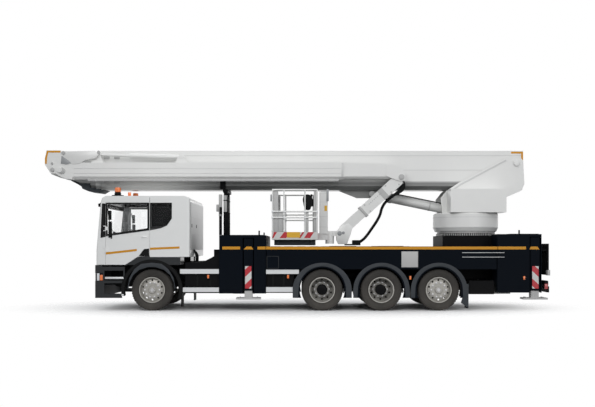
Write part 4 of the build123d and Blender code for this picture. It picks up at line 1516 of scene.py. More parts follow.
# ---- chassis, deck and outriggers ------------------------------------------
@dataclass
class ChassisTrim(Trim):
    """Deck stripe, warning signs, lamps, panels, rails, mudguards, tanks, lids and bolts.

    Args:
        deck_side: the deck edge's distance from the middle.
        box_side: the outrigger boxes' distance from the middle.
    """

    deck_side: float = 1.27
    box_side: float = 1.25

    def stripes(self) -> None:
        """Orange band along the deck edge, the outrigger boxes and the near legs."""
        z_low, z_high = 1.416, 1.482
        runs = (  # ends along X, skin
            ((-4.718, 0.608), self.deck_side), ((1.205, 1.615), self.box_side),
            ((0.618, 0.805), self.box_side), ((-5.380, -4.735), self.box_side),
        )
        for side in Side:
            pieces = [
                side_box(side.value, x, skin_layer(skin, 0.003), (z_low, z_high), 0.0)
                for x, skin in runs
            ]
            self.shop.fit(pieces, f"deck_stripe_{side.label}", "orange_stripe")
        badges = {  # x at the foot, at the top, at the top and at the foot
            "front": (1.127, 1.060, 0.950, 0.899), "rear": (-5.460, -5.500, -5.650, -5.695),
        }
        for station, (a, b, c, d) in badges.items():
            corners = [(a, z_low), (b, z_high), (c, z_high), (d, z_low)]
            badge = side_plate(Side.LEFT.value, corners, skin_layer(1.230, 0.003), 0.0)
            self.shop.fit([badge], f"leg_stripe_{station}", "orange_stripe", f"beam_{station}_left")

    def chevrons(self) -> None:
        """Red and white warning signs on the four legs and the rear panel."""
        slants = {"front": (-0.8, 0.65), "rear": (0.8, 1.45)}
        for station, side, x in LEGS:
            low, high = sorted(side.value * y for y in skin_layer(1.250, 0.004))
            red, white = slanted_panels(
                (x - 0.073, low, 0.516), (x + 0.073, high, 1.031), 3, *slants[station]
            )
            name = f"{station}_{side.label}"
            self.shop.fit(red, f"chevron_red_{name}", "chevron_red", f"beam_{name}")
            self.shop.fit(white, f"chevron_white_{name}", "chevron_white", f"beam_{name}")
        signs = {"chevron_red": [], "chevron_white": []}
        count = 6
        for side in Side:
            low, high = sorted((side.value * 0.60, side.value * 1.16))
            step = (high - low) / count
            for index in range(count):
                stripe = rounded_box(
                    (-5.9275, low + index * step, 0.90),
                    (-5.922, low + (index + 1) * step, 1.04), 0.0,
                )
                signs["chevron_red" if index % 2 else "chevron_white"].append(stripe)
        for finish, pieces in signs.items():
            self.shop.fit(pieces, f"rear_{finish}", finish)

    def side_lamps(self) -> None:
        """Amber side lamps, red reflectors and tail lamps."""
        amber, red, bases = [], [], []
        for side in Side:
            sign = side.value
            for x, z, skin in (
                (1.941, 0.790, 1.240), (0.101, 0.790, 1.240), (-2.713, 0.763, 1.256),
                (-5.339 if sign > 0 else -5.640, 0.760, 1.240),
            ):
                lens_y, base_y = (skin, skin + 0.018), (skin - 0.12, skin + 0.004)
                amber.append(
                    side_box(sign, spread(x, 0.022), lens_y, spread(z, 0.040), 0.006, 3)
                )
                bases.append(side_box(sign, spread(x, 0.03), base_y, spread(z, 0.05), 0.006))
            red.append(side_box(sign, (-5.912, -5.840), (1.142, 1.156), (0.500, 0.620)))
            bases.append(side_box(sign, (-5.934, -5.850), (0.70, 1.12), (0.562, 0.690), 0.006))
            for y, pieces in (((0.72, 0.86), amber), ((0.87, 1.10), red)):
                pieces.append(side_box(sign, (-5.944, -5.932), y, (0.580, 0.672), 0.005, 3))
        self.shop.fit(amber, "side_lamps_amber", "amber_lens")
        self.shop.fit(red, "rear_lamps_red", "red_lens")
        self.shop.fit(bases, "lamp_bases", "black_plastic")

    def skirt_details(self) -> None:
        """Grey panels, locker frames, grab rails, mudguards, tank straps, caps and flaps."""
        grey, dark, rails, frames = [], [], [], []
        rail_heights = (1.341, 1.239)
        for side in Side:
            sign = side.value
            grey.append(side_box(sign, (-2.891, -2.510), (1.262, 1.268), (1.005, 1.369)))
            for x, z in frame_strips((0.313, 0.592), (0.975, 1.262), 0.012):
                frames.append(side_box(sign, x, (1.261, 1.2655), z, 0.002))
            rail_y = sign * 1.267
            for z in rail_heights:
                rails.append(round_bar((-4.880, rail_y, z), (-3.905, rail_y, z), 0.0065, 10))
            for x in (-4.80, -4.40, -4.00):
                for z in rail_heights:
                    rails.append(cross_pin((x, z), (sign * 1.255, sign * 1.268), 0.005, 10))
            dark.append(cross_pin((2.18, 0.86), (sign * 1.165, sign * 1.195), 0.045, 28, 0.004))
            for x in (1.90, 2.20, 0.20, 0.45):
                dark.append(side_box(sign, spread(x, 0.02), (1.168, 1.176), (0.43, 0.94), 0.002))
            dark.append(side_box(sign, (-4.040, -4.025), (0.95, 1.245), (0.06, 0.50), 0.003))
            grey.append(side_box(sign, (-5.943, -5.886), (1.10, 1.235), (0.815, 0.940)))
        self.shop.fit(grey, "inspection_panels", "light_grey")
        self.shop.fit(rails, "grab_rails", "aluminium")
        self.shop.fit(frames, "locker_frames", "bumper_plastic")
        self.shop.fit(self.mudguards(), "mudguard_bands", "guard_grey")
        self.shop.fit(dark, "tank_straps_caps_and_flaps", "black_plastic")

    def mudguards(self) -> list[Obj]:
        """Bands round the wheels and the flaps behind the last axle.

        Returns:
            The bands and flaps.
        """
        foot = 0.300
        turns = [math.pi * step / 28 for step in range(29)]
        front_arch = [
            (2.690, 0.520), (2.735, 0.760), (2.850, 0.960), (3.010, 1.085), (3.240, 1.110),
            (3.480, 1.085), (3.640, 0.960), (3.752, 0.760), (3.795, 0.520), (3.775, 0.480),
            (3.748, 0.660), (3.660, 0.830), (3.520, 0.948), (3.330, 1.008), (3.150, 1.008),
            (2.960, 0.948), (2.820, 0.830), (2.732, 0.660), (2.705, 0.480),
        ]
        flap = [(-4.055, 0.62), (-4.055, 0.06), (-3.880, 0.19), (-3.960, 0.45), (-3.985, 0.62)]
        guards = []
        for sign in SIGNS:
            for axle, reach in (("drive_1", 0.680), ("drive_2", 0.650), ("tag", 0.650)):
                x = AXLE_X[axle]
                outer = [
                    (x + reach * math.cos(t), WHEEL_HEIGHT + 0.630 * math.sin(t)) for t in turns
                ]
                inner = [
                    (x + 0.545 * math.cos(t), WHEEL_HEIGHT + 0.545 * math.sin(t))
                    for t in reversed(turns)
                ]
                outline = [
                    (x + reach, foot), *outer, (x - reach, foot),
                    (x - 0.552, foot), *inner, (x + 0.552, foot),
                ]
                guards.append(side_plate(sign, outline, (1.2625, 1.2735), 0.004))
            guards.append(side_plate(sign, front_arch, (1.2625, 1.2735), 0.004))
            guards.append(side_plate(sign, flap, (1.240, 1.262), 0.003))
        return guards

    def hidden_parts(self) -> None:
        """Air tanks between the axles and the covers beside the engine."""
        tanks = [
            round_bar((x_low, sign * 0.47, z), (x_high, sign * 0.47, z), 0.105, 28, 0.02)
            for sign in SIGNS for x_low, x_high in ((-1.62, -1.12), (-2.98, -2.45))
            for z in (0.58, 0.80)
        ]
        self.shop.fit(tanks, "air_tanks", "black_steel")
        cover = [
            (4.34, 0.62), (4.34, 1.12), (2.46, 1.12), (2.46, 0.62), (2.62, 0.52), (4.20, 0.52),
        ]
        covers = [side_plate(sign, cover, (0.50, 0.53), 0.004) for sign in SIGNS]
        self.shop.fit(covers, "engine_side_covers", "black_plastic")

    def deck_details(self) -> None:
        """Tread strips and lids on the deck, and the outrigger boxes' lids and locking pins."""
        deck = 1.4855
        strips = [
            side_box(sign, spread(x / 10, 0.10), (0.62, 1.18), (deck, 1.489), 0.0015)
            for x in range(-26, 5, 3) for sign in SIGNS
        ]
        lids = [
            rounded_box((x - 0.28, y - 0.22, deck), (x + 0.28, y + 0.22, 1.497))
            for y in (0.85, -0.85) for x in (-1.2, -2.3)
        ]
        for x, top in (((0.66, 1.64), 1.7425), ((-5.70, -5.05), 1.7695)):
            lids += [side_box(sign, x, (0.62, 1.16), (top, top + 0.010)) for sign in SIGNS]
        spikes = [
            round_bar((x, sign * 1.18, 1.735), (x, sign * 1.18, top), 0.018, 16, 0.006)
            for x, top in ((0.770, 1.850), (-5.240, 1.865)) for sign in SIGNS
        ]
        self.shop.fit(strips, "deck_tread_strips", "black_steel")
        self.shop.fit(lids, "deck_lids", "navy_paint")
        self.shop.fit(spikes, "box_locking_pins", "black_steel")

    def bolts(self) -> None:
        """Bolt heads of the slewing ring and ribs on the outrigger feet."""
        heads = [
            round_bar((x, y, 1.742), (x, y, 1.7455), 0.014, 6, 0.001)
            for x, y in ring_places((SLEW_X, 0.0), 0.655, 36)
        ]
        self.shop.fit(heads, "ring_bolts", "machined_steel")
        for station, side, x in LEGS:
            ribs = [
                side_box(side.value, spread(x + dx, 0.006), (1.00, 1.25), (0.300, 0.318), 0.001)
                for dx in (-0.20, 0.20)
            ]
            name = f"{station}_{side.label}"
            self.shop.fit(ribs, f"foot_ribs_{name}", "light_grey", f"jack_{name}")

    def build(self) -> None:
        """Fit all the chassis trim."""
        self.stripes()
        self.chevrons()
        self.side_lamps()
        self.skirt_details()
        self.hidden_parts()
        self.deck_details()
        self.bolts()


# ---- boom rest -------------------------------------------------------------
@dataclass
class RestTrim(Trim):
    """Rubber pads, sleeves, collars, arch pipe and bracket of the boom rest.

    Args:
        post_x: the posts' place along X.
        post_y: the posts' distance from the middle.
    """

    post_x: float = 1.630
    post_y: float = 0.30

    def post_part(self, y: float, z: Span, radius: float) -> Obj:
        """Sleeve or collar round a post.

        Args:
            y: the post's place along Y.
            z: its foot and top.
            radius: its radius.

        Returns:
            The new object.
        """
        return round_bar((self.post_x, y, z[0]), (self.post_x, y, z[1]), radius, 28, 0.003)

    def build(self) -> None:
        """Fit the rest's trim."""
        pads = [
            rounded_box((1.572, -0.52, 2.8605), (1.688, 0.34, 2.8690), 0.002),
            rounded_box((1.70, 0.42, 2.26), (1.76, 0.52, 2.43), 0.006),
        ]
        self.shop.fit(pads, "boom_rest_pad", "black_plastic")
        light, dark = [], []
        for y in (-self.post_y, self.post_y):
            light.append(self.post_part(y, (2.32, 2.72), 0.0525))
            dark.append(self.post_part(y, (1.76, 2.30), 0.0525))
            for z in (2.05, 2.31, 2.60):
                dark.append(self.post_part(y, spread(z, 0.012), 0.057))
        light.append(rounded_box((1.715, 0.25, 2.22), (1.795, 0.33, 2.745), 0.008))
        light.append(rounded_box((1.795, 0.25, 2.33), (1.855, 0.33, 2.50), 0.008))
        dark.append(rounded_box((1.722, 0.255, 1.76), (1.788, 0.325, 2.22), 0.006))
        self.shop.fit(light, "boom_rest_sleeves", "light_grey")
        route = (
            (1.545, 0.62, 1.745), (1.545, 0.62, 2.560), (1.545, 0.54, 2.690),
            (1.545, 0.30, 2.740), (self.post_x, 0.30, 2.740),
        )
        arch = [round_bar(start, end, 0.022, 18, 0.004) for start, end in zip(route, route[1:])]
        self.shop.fit([*dark, *arch], "boom_rest_arch_pipe", "black_steel")
        bracket = [rounded_box((1.645, 0.148, 2.885), (1.775, 0.185, 3.155), 0.005)]
        self.shop.fit(bracket, "boom_rest_bracket", "black_plastic", "main_boom_base")


# ---- booms -----------------------------------------------------------------
@dataclass
class BoomTrim(Trim):
    """Weld lines, tape, wear-pad covers, pins, the elbow's link, the tray and the jib hose.

    Args:
        near: the main boom's near face.
        far: the main boom's far face.
        upper_near: the upper boom's near face.
        upper_far: the upper boom's far face.
        jib_near: the jib's near face.
        jib_far: the jib's far face.
        sink: how far thin pieces go into a face.
    """

    near: float = 0.15
    far: float = -0.49
    upper_near: float = 0.51
    upper_far: float = 0.21
    jib_near: float = 0.48
    jib_far: float = 0.24
    sink: float = 0.001

    def main_lines(self) -> None:
        """Weld seams, stiffener strips and wear-pad covers on the main boom."""
        faces = ((self.near, 1), (self.far, -1))
        seams = [
            box_on_face(y, out, (x_low, 4.66), (z, z + 0.011), (self.sink, 0.0035), 0.0015)
            for y, out in faces for z, x_low in ((3.345, -4.9), (3.070, -5.58), (3.700, -5.58))
        ]
        self.shop.fit(seams, "main_boom_seams", "white_shade", "main_boom_base")
        covers = []
        for x in (4.30, 4.55):
            for z in (3.02, 3.62):
                for y, out in faces:
                    depth = (self.sink, 0.012)
                    covers.append(box_on_face(y, out, spread(x, 0.07), (z, z + 0.11), depth))
                    for dx in (-0.04, 0.04):
                        place = (x + dx, z + 0.055)
                        covers.append(cross_pin(place, (y, y + out * 0.018), 0.011, 6))
        for z in (2.868, 3.808):
            covers.append(rounded_box((4.655, -0.45, z), (4.690, 0.11, z + 0.012), 0.003))
        self.shop.fit(covers, "main_boom_pad_covers", "light_grey", "main_boom_base")

    def tapes(self) -> None:
        """Orange tape along the boom's rear end and the elbow."""
        depth = (self.sink, 0.0035)
        rear = [
            box_on_face(y, out, x, (foot, 3.800), depth, 0.0)
            for y, out, x, foot in (
                (self.near, 1, (-5.623, -5.575), 3.500), (self.near, 1, (-5.575, -5.330), 3.755),
                (self.far, -1, (-5.623, -5.575), 3.500),
            )
        ]
        self.shop.fit(rear, "rear_tape", "orange_tape", "main_boom_base")
        front = [
            box_on_face(self.upper_near, 1, (5.570, 5.900), (3.738, 3.780), depth, 0.0),
            outline_plate([
                (5.905, 3.738), (5.942, 3.598), (5.942, 3.470), (5.897, 3.470), (5.897, 3.590),
                (5.863, 3.738),
            ], (self.upper_near - self.sink, self.upper_near + 0.0035), 0.0),
        ]
        self.shop.fit(front, "elbow_tape", "orange_tape", "upper_boom_base")

    def elbow(self) -> None:
        """Elbow link plate, its pins, and a grey plate painted as the shade in the recess."""
        near = self.upper_near
        pins = []
        for place, radius in (
            ((5.531, 3.302), 0.075), ((5.759, 3.328), 0.050), ((5.4975, 3.728), 0.045),
            ((5.770, 3.480), 0.030), ((4.651, 3.743), 0.040),
        ):
            pins.append(cross_pin(place, (near - 0.01, near + 0.030), radius, 30, 0.006))
            for spot in ring_places(place, 0.62 * radius, 6):
                pins.append(cross_pin(spot, (near + 0.02, near + 0.036), radius * 0.16, 6))
        self.shop.fit(pins, "elbow_pin_caps", "light_grey", "upper_boom_base")
        link = outline_plate([
            (5.500, 3.768), (4.750, 3.778), (4.648, 3.700), (4.720, 3.600), (4.960, 3.560),
            (5.120, 3.470), (5.280, 3.455), (5.440, 3.540), (5.530, 3.660),
        ], (near - 0.03, near + 0.012), 0.004)
        self.shop.fit([link], "elbow_link", "white_paint", "upper_boom_base")
        # Painted shade: a thin grey plate on the face stands in for the shade in the recess.
        recess = outline_plate(
            [(5.540, 3.655), (5.560, 3.470), (5.430, 3.450), (5.310, 3.480), (5.390, 3.560)],
            (near + 0.001, near + 0.013), 0.001,
        )
        self.shop.fit([recess], "elbow_recess", "grey_steel", "upper_boom_base")

    def upper_lines(self) -> None:
        """Long seams of the upper boom, its collar, the energy-chain tray and the fairing."""
        seams = [
            box_on_face(y, out, (-1.20, 5.25), (z, z + 0.010), (self.sink, 0.004), 0.0015)
            for y, out in ((self.upper_near, 1), (self.upper_far, -1))
            for z in (3.350, 3.235, 3.160)
        ]
        collar_x, collar_z = (-1.215, -1.165), (3.15, 3.49)
        seams.append(
            box_on_face(self.upper_near, 1, collar_x, collar_z, (self.sink, 0.006), 0.002)
        )
        self.shop.fit(seams, "upper_boom_seams", "white_shade", "upper_boom_base")
        tray = [rounded_box((-1.10, 0.515, 3.045), (4.90, 0.575, 3.105), 0.006)]
        tray += [
            rounded_box((x / 10, 0.505, 3.040), (x / 10 + 0.04, 0.580, 3.110))
            for x in range(-9, 49, 7)
        ]
        self.shop.fit(tray, "energy_tray", "light_grey", "upper_boom_base")
        wedge = outline_plate([
            (5.430, 3.093), (5.250, 3.000), (5.175, 2.951), (5.146, 2.895), (4.992, 2.831),
            (4.725, 2.797), (4.645, 2.846), (4.600, 2.868), (4.705, 2.868), (4.705, 2.897),
            (4.835, 2.897), (4.835, 2.925), (4.965, 2.925), (4.965, 3.030), (5.200, 3.030),
            (5.430, 3.130),
        ], (-0.40, 0.14), 0.004)
        self.shop.fit([wedge], "head_fairing", "guard_plastic", "main_boom_top")

    def jib_details(self) -> None:
        """Jib pins, bolts and bands, the black guide, the hose with its box, and the heels."""
        at = partial(along_line, JIB_PIVOT, CAGE_PIVOT)
        near, far = self.jib_near, self.jib_far
        caps = [cross_pin(JIB_PIVOT, (near - 0.004, near + 0.058), 0.070, 30, 0.006)]
        for spot in ring_places(JIB_PIVOT, 0.04, 6):
            caps.append(cross_pin(spot, (near + 0.05, near + 0.066), 0.008, 6))
        for run, rise in ((0.16, 0.09), (0.42, 0.10), (1.10, 0.10)):
            for way in (1, -1):
                place = at(run, way * rise)
                caps.append(cross_pin(place, (near - 0.002, near + 0.010), 0.018, 6))
        self.shop.fit(caps, "jib_bolts", "light_grey", "jib_base")
        bands = [
            outline_plate([at(a, -half), at(b, -half), at(b, half), at(a, half)], y, edge)
            for a, b, half, y, edge in (
                (0.52, 0.66, 0.134, (near + 0.0005, near + 0.005), 0.0),
                (1.20, 1.26, 0.150, (far - 0.012, near + 0.012), 0.003),
            )
        ]
        self.shop.fit(bands, "jib_bands", "light_grey", "jib_base")
        guide = outline_plate([
            (-2.673, 3.091), (-2.709, 2.983), (-2.704, 2.887), (-2.644, 2.803), (-2.524, 2.724),
            (-2.404, 2.672), (-2.332, 2.628), (-2.332, 2.660), (-2.440, 2.755), (-2.524, 2.827),
            (-2.596, 2.899), (-2.632, 2.995), (-2.650, 3.091),
        ], (0.30, 0.46), 0.012)
        self.shop.fit([guide], "jib_hose_guide", "black_plastic", "jib_base")
        route = (  # X and Z
            (-2.650, 2.950), (-2.580, 2.830), (-2.420, 2.710), (-2.230, 2.560), (-2.140, 2.400),
            (-2.110, 2.250), (-2.019, 2.080), (-1.901, 1.911), (-1.790, 1.750), (-1.690, 1.640),
            (-1.600, 1.585),
        )
        box = rounded_box((-1.628, 0.30, 1.512), (-1.430, 0.46, 1.638), 0.02, 3)
        tray = rounded_box((-1.628, 0.27, 1.512), (-1.250, 0.46, 1.545), 0.006)
        line = hose(tuple((x, 0.38, z) for x, z in route), 0.034)
        self.shop.fit([line, box, tray], "jib_hose", "black_plastic", "jib_top")
        heel = [
            (-1.062, 1.860), (-1.155, 1.972), (-1.330, 2.035), (-1.440, 1.950), (-1.385, 1.760),
            (-1.340, 1.640), (-1.300, 1.540), (-1.100, 1.540), (-1.050, 1.640), (-1.045, 1.760),
        ]
        heels = [outline_plate(heel, y, 0.004) for y in ((0.456, 0.472), (0.248, 0.264))]
        self.shop.fit(heels, "jib_heel_plates", "white_paint", "jib_top")
        row_y = (near - 0.002, near + 0.009)
        bolts = [
            cross_pin(at(0.62 + index * 0.055, 0.045), row_y, 0.010, 6, 0.001)
            for index in range(8)
        ]
        self.shop.fit(bolts, "jib_bolt_row", "grey_steel", "jib_base")
        pins = [
            cross_pin(place, (0.455, 0.480), radius, 28, 0.004)
            for place, radius in ((CAGE_PIVOT, 0.056), ((-1.214, 1.812), 0.036))
        ]
        self.shop.fit(pins, "jib_foot_pins", "grey_steel", "jib_top")

    def luff(self) -> None:
        """Caps of the luffing cylinder's eye, and its bands, gland and pipes."""
        caps = [
            cross_pin(LUFF_EYE, y, 0.075, 30, 0.006) for y in ((-0.030, 0.000), (-0.340, -0.310))
        ]
        self.shop.fit(caps, "luff_eye_caps", "light_grey", "main_boom_base")
        lean = math.atan2(LUFF_EYE[1] - LUFF_FOOT[1], LUFF_EYE[0] - LUFF_FOOT[0])
        cos, sin = math.cos(lean), math.sin(lean)
        bands = []
        for run, radius, wide in ((2.345, 0.128, 0.09), (0.35, 0.121, 0.05), (1.35, 0.119, 0.035)):
            x, z = LUFF_FOOT[0] + run * cos, LUFF_FOOT[1] + run * sin
            dx, dz = wide / 2 * cos, wide / 2 * sin
            bands.append(round_bar(
                (x - dx, LUFF_Y, z - dz), (x + dx, LUFF_Y, z + dz), radius, 40, 0.006
            ))
        self.shop.fit(bands, "luff_barrel_bands", "white_shade", "luff_barrel")
        rise = 0.128
        pipes = []
        for offset in (-0.045, 0.045):
            start, end = (
                (LUFF_FOOT[0] + run * cos - rise * sin, LUFF_Y + offset,
                 LUFF_FOOT[1] + run * sin + rise * cos)
                for run in (0.45, 2.25)
            )
            pipes.append(round_bar(start, end, 0.011, 12))
        self.shop.fit(pipes, "luff_barrel_pipes", "black_steel", "luff_barrel")

    def build(self) -> None:
        """Fit all the boom trim."""
        self.main_lines()
        self.tapes()
        self.elbow()
        self.upper_lines()
        self.jib_details()
        self.luff()


# ---- turret ----------------------------------------------------------------
@dataclass
class TurretTrim(Trim):
    """Drum bands and bolts, cabinet door lines, louvres, pivot caps and cheek ribs."""

    def drum(self) -> None:
        """Two bands round the drum and bolt heads round its foot."""
        bands = [
            upright_ring((SLEW_X, 0.0), 0.788, z, 72) for z in ((1.935, 1.950), (2.180, 2.190))
        ]
        self.shop.fit(bands, "drum_bands", "white_shade", "turret")
        heads = [
            round_bar((x, y, 1.842), (x, y, 1.855), 0.013, 6, 0.001)
            for x, y in ring_places((SLEW_X, 0.0), 0.722, 28)
        ]
        self.shop.fit(heads, "drum_bolts", "machined_steel", "turret")

    def cabinet(self) -> None:
        """Door outlines and louvres on the far cabinet."""
        drop = 0.03
        seams = []
        for door in ((-5.030, -4.420), (-4.390, -3.780)):
            for x, z in frame_strips(door, (2.32, 2.82), 0.008):
                low, high = (x[0], -1.081, z[0] - drop), (x[1], -1.078, z[1] - drop)
                seams.append(rounded_box(low, high, 0.0))
        louvres = []
        for row in range(6):
            z = 2.42 + row * 0.028
            louvres.append(rounded_box((-4.92, -1.084, z), (-4.62, -1.079, z + 0.010), 0.001))
        self.shop.fit(seams, "cabinet_seams", "white_shade", "turret")
        self.shop.fit(louvres, "cabinet_louvres", "black_plastic", "turret")

    def cheeks(self) -> None:
        """Pivot caps and the ribs along the cheeks' edges."""
        caps = [
            cross_pin((-5.440, 3.513), (y - out * 0.02, y + out * 0.008), 0.070, 36, 0.003)
            for y, out in ((0.25, 1), (-0.59, -1))
        ]
        self.shop.fit(caps, "luff_pivot_caps", "white_paint", "turret")
        rib = [
            (-3.80, 2.82), (-4.09, 3.02), (-5.18, 3.60), (-5.20, 3.57), (-4.10, 2.98),
            (-3.82, 2.79),
        ]
        ribs = [outline_plate(rib, spread(y, 0.004), 0.001) for y in (0.212, -0.552)]
        self.shop.fit(ribs, "cheek_ribs", "white_shade", "turret")

    def build(self) -> None:
        """Fit all the turret trim."""
        self.drum()
        self.cabinet()
        self.cheeks()


# ---- cage ------------------------------------------------------------------
@dataclass
class CageTrim(Trim):
    """Striped toe boards, control desk, tool bag, side panels, column trim and rail joints.

    Args:
        rear: the cage's rear end.
        front: the cage's front end.
        half: the cage's half width.
    """

    rear: float = -0.590
    front: float = 0.485
    half: float = 1.0

    def toe_boards(self) -> None:
        """Light boards with slanted red patches and a yellow block in the middle of each side."""
        red, white, yellow = [], [], []
        z_low, z_high = 1.680, 1.820
        half = self.half
        patches = (  # x at the foot, x at the foot, x at the top, x at the top
            (0.475, 0.447, 0.363, 0.437), (0.302, 0.150, 0.057, 0.199),
            (-0.139, -0.186, -0.279, -0.232), (-0.268, -0.408, -0.501, -0.361),
        )
        for sign in SIGNS:
            length = (self.rear + 0.004, self.front - 0.004)
            white.append(
                side_box(sign, length, (half - 0.001, half + 0.002), (1.645, 1.822), 0.0)
            )
            for foot_a, foot_b, top_a, top_b in patches:
                corners = [(foot_a, z_low), (foot_b, z_low), (top_a, z_high), (top_b, z_high)]
                red.append(side_plate(sign, corners, (half + 0.002, half + 0.004), 0.0))
            block_y = (half + 0.004, half + 0.006)
            yellow.append(side_box(sign, (-0.175, 0.130), block_y, (1.690, 1.822), 0.0))
        width = (2 * half - 0.02) / 8
        for x, out in ((self.rear, -1), (self.front, 1)):
            low_x, high_x = sorted((x - out * 0.001, x + out * 0.003))
            for index in range(8):
                y = -half + 0.01 + index * width
                stripe = rounded_box((low_x, y, 1.650), (high_x, y + width, 1.818), 0.0)
                (red if index % 2 else white).append(stripe)
        self.shop.fit(red, "toe_board_red", "chevron_red", "cage")
        self.shop.fit(white, "toe_board_white", "chevron_white", "cage")
        self.shop.fit(yellow, "toe_board_yellow", "safety_yellow", "cage")

    def equipment(self) -> None:
        """Control desk with levers, tool bag, side panels, column trim, lamp and underframe."""
        bag = outline_plate([
            (-0.232, 2.600), (-0.270, 2.690), (-0.350, 2.716), (-0.420, 2.690), (-0.458, 2.590),
            (-0.440, 2.430), (-0.415, 2.340), (-0.300, 2.340), (-0.262, 2.440),
        ], (0.80, 0.93), 0.03)
        desk = rounded_box((-0.560, -0.260, 2.480), (-0.440, 0.260, 2.640), 0.012, 3)
        lever_places = (-0.16, -0.05, 0.06, 0.17)
        levers = [
            round_bar((-0.47, y, 2.630), (-0.455, y, 2.735), 0.008, 12) for y in lever_places
        ]
        knobs = [
            rounded_box((-0.475, y - 0.02, 2.720), (-0.435, y + 0.02, 2.760), 0.012, 4)
            for y in lever_places
        ]
        self.shop.fit([bag, desk, *levers, *knobs], "cage_control_desk", "black_plastic", "cage")
        plate = rounded_box((-0.822, 0.470, 2.340), (-0.760, 0.476, 2.466), 0.0)
        self.shop.fit([plate], "column_bare_plate", "safety_yellow", "cage")
        panels = [
            side_box(sign, x, (0.950, 0.962), (1.830, top), 0.003)
            for sign in SIGNS
            for x, top in (
                ((0.335, 0.475), 2.790), ((0.225, 0.345), 2.300), ((-0.375, -0.285), 2.300),
                ((-0.575, -0.495), 2.790),
            )
        ]
        self.shop.fit(panels, "cage_side_panels", "light_grey", "cage")
        boxes = [
            rounded_box((-0.862, 0.472, 2.570), (-0.810, 0.500, 2.860), 0.006),
            rounded_box((-0.800, 0.235, 2.815), (-0.680, 0.485, 2.827)),
        ]
        self.shop.fit(boxes, "column_boxes", "grey_steel", "cage")
        seams = [
            rounded_box((-0.842, 0.468, z), (-0.640, 0.473, z + 0.008), 0.0)
            for z in (1.95, 2.20, 2.55, 2.75)
        ]
        self.shop.fit(seams, "column_seams", "white_shade", "cage")
        lamp = rounded_box((0.462, 0.930, 2.540), (0.520, 0.985, 2.700), 0.008, 3)
        self.shop.fit([lamp], "cage_work_lamp", "grey_steel", "cage")
        under = [
            rounded_box((self.rear + 0.05, y - 0.03, 1.515), (self.front - 0.05, y + 0.03, 1.643))
            for y in (-0.8, -0.3, 0.3, 0.8)
        ]
        under += [
            rounded_box((x - 0.03, -0.86, 1.535), (x + 0.03, 0.86, 1.600)) for x in (-0.45, 0.35)
        ]
        self.shop.fit(under, "cage_underframe", "guard_plastic", "cage")

    def sockets(self) -> None:
        """Rail sockets at the posts' feet and clamps at the rails."""
        pieces = []
        for x in (self.rear + 0.019, -0.290, 0.200, self.front - 0.019):
            for y in (-0.981, 0.981):
                pieces.append(round_bar((x, y, 1.820), (x, y, 1.870), 0.023, 18, 0.003))
                for z in (2.160, 2.300):
                    pieces.append(round_bar((x, y, z - 0.03), (x, y, z + 0.03), 0.0225, 18, 0.003))
        self.shop.fit(pieces, "cage_sockets", "aluminium", "cage")

    def build(self) -> None:
        """Fit all the cage trim."""
        self.toe_boards()
        self.equipment()
        self.sockets()


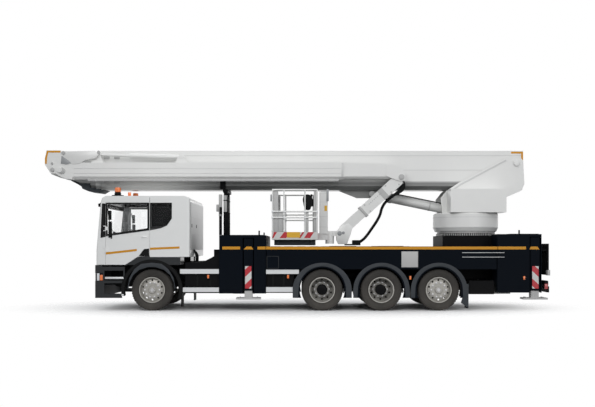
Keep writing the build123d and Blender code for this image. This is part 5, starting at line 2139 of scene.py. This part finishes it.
# ---- stage -----------------------------------------------------------------
@dataclass
class Studio:
    """White background, pale floor, soft lights and the photograph's camera.

    Args:
        camera_place: where the camera stands.
        lens: focal length on a 36 mm sensor.
        shift: sensor shift as fractions of the width.
        picture: the picture's width and height in pixels.
    """

    camera_place: Point = (-0.221, 19.275, 1.472)
    lens: float = 47.35
    shift: Span = (-0.0076, 0.0731)
    picture: tuple[int, int] = (595, 407)

    def set_background(self) -> None:
        """White to the camera and to clear or glossy rays, soft grey light to the rest."""
        world = bpy.data.worlds.new("studio")
        bpy.context.scene.world = world
        world.use_nodes = True
        tree = world.node_tree
        sky = add_node(tree, "ShaderNodeTexCoord").outputs["Generated"]
        height = add_node(tree, "ShaderNodeSeparateXYZ", {0: sky}).outputs["Z"]
        soft = tree.nodes["Background"]
        soft.inputs["Color"].default_value = (0.93, 0.96, 1.0, 1.0)
        tree.links.new(ramp(tree, height, (-0.25, 0.25), (0.16, 0.44)), soft.inputs["Strength"])
        white = add_node(
            tree, "ShaderNodeBackground", None, {"Color": (1.0, 1.0, 1.0, 1.0), "Strength": 1.0}
        )
        rays = add_node(tree, "ShaderNodeLightPath").outputs
        lit = rays["Is Camera Ray"]
        for ray in ("Is Transmission Ray", "Is Glossy Ray"):
            lit = add_node(
                tree, "ShaderNodeMath", {0: lit, 1: rays[ray]}, operation="MAXIMUM"
            ).outputs[0]
        mix = add_node(
            tree, "ShaderNodeMixShader", {"Fac": lit, 1: soft.outputs[0], 2: white.outputs[0]}
        )
        tree.links.new(mix.outputs[0], tree.nodes["World Output"].inputs["Surface"])

    def lay_floor(self) -> None:
        """Pale floor under the wheels that fades into the white background."""
        deselect_all()
        bpy.ops.mesh.primitive_plane_add(size=60.0, location=(0.0, 0.0, 0.0))
        floor = bpy.context.active_object
        floor.name = "floor"
        material = bpy.data.materials.new("floor")
        material.use_nodes = True
        tree = material.node_tree
        shader = tree.nodes["Principled BSDF"]
        shader.inputs["Base Color"].default_value = (0.92, 0.92, 0.92, 1.0)
        shader.inputs["Roughness"].default_value = 0.9
        squeeze = add_node(
            tree, "ShaderNodeMapping", {"Vector": object_place(tree)},
            {"Scale": (0.105, 0.22, 1.0)},
        )
        reach = add_node(
            tree, "ShaderNodeVectorMath", {0: squeeze.outputs["Vector"]}, operation="LENGTH"
        )
        fade = add_node(
            tree, "ShaderNodeMapRange", {"Value": reach.outputs["Value"]},
            {"From Min": 0.35, "From Max": 0.78}, interpolation_type="SMOOTHSTEP",
        )
        clear = add_node(tree, "ShaderNodeBsdfTransparent")
        mix = add_node(
            tree, "ShaderNodeMixShader",
            {"Fac": fade.outputs["Result"], 1: shader.outputs["BSDF"], 2: clear.outputs["BSDF"]},
        )
        tree.links.new(mix.outputs["Shader"], tree.nodes["Material Output"].inputs["Surface"])
        floor.data.materials.append(material)

    def hang_lights(self) -> None:
        """A large key from the camera's side, a fill and a top light."""
        lights = (  # name, energy, size, place, aim
            ("key", 1040.0, 9.0, (3.4, 15.0, 10.0), (0.0, 0.0, 1.6)),
            ("fill", 430.0, 10.0, (-9.0, 13.0, 5.0), (0.0, 0.0, 1.4)),
            ("top", 560.0, 12.0, (0.0, -1.0, 13.0), (0.0, 0.0, 1.0)),
            ("back", 300.0, 10.0, (-4.0, -14.0, 8.0), (0.0, 0.0, 1.5)),
        )
        for name, energy, size, place, aim in lights:
            lamp = bpy.data.lights.new(name, "AREA")
            lamp.energy = energy
            lamp.shape = "SQUARE"
            lamp.size = size
            obj = bpy.data.objects.new(name, lamp)
            obj.location = place
            obj.rotation_euler = (Vector(aim) - Vector(place)).to_track_quat("-Z", "Y").to_euler()
            bpy.context.scene.collection.objects.link(obj)

    def place_camera(self) -> None:
        """Stand the camera where the photograph was taken."""
        camera = bpy.data.cameras.new("photo")
        camera.lens = self.lens
        camera.sensor_width = 36.0
        camera.shift_x, camera.shift_y = self.shift
        obj = bpy.data.objects.new("photo", camera)
        obj.location = self.camera_place
        obj.rotation_euler = (math.radians(90), 0.0, math.radians(180))
        scene = bpy.context.scene
        scene.collection.objects.link(obj)
        scene.camera = obj
        scene.render.resolution_x, scene.render.resolution_y = self.picture
        scene.view_settings.view_transform = "Standard"

    def build(self) -> None:
        """Set up the whole stage."""
        self.set_background()
        self.lay_floor()
        self.hang_lights()
        self.place_camera()


def main() -> None:
    """Build the scene."""
    logging.basicConfig(level=logging.INFO)
    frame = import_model()
    palette = Palette()
    CadNodes(frame, palette).dress()
    shop = Workshop(palette)
    for trim_set in (
        Wheels(shop), CabTrim(shop), ChassisTrim(shop), RestTrim(shop), BoomTrim(shop),
        TurretTrim(shop), CageTrim(shop),
    ):
        trim_set.build()
    Studio().build()
    LOG.info("scene ready: %d pieces", shop.made)


if __name__ == "__main__":
    main()
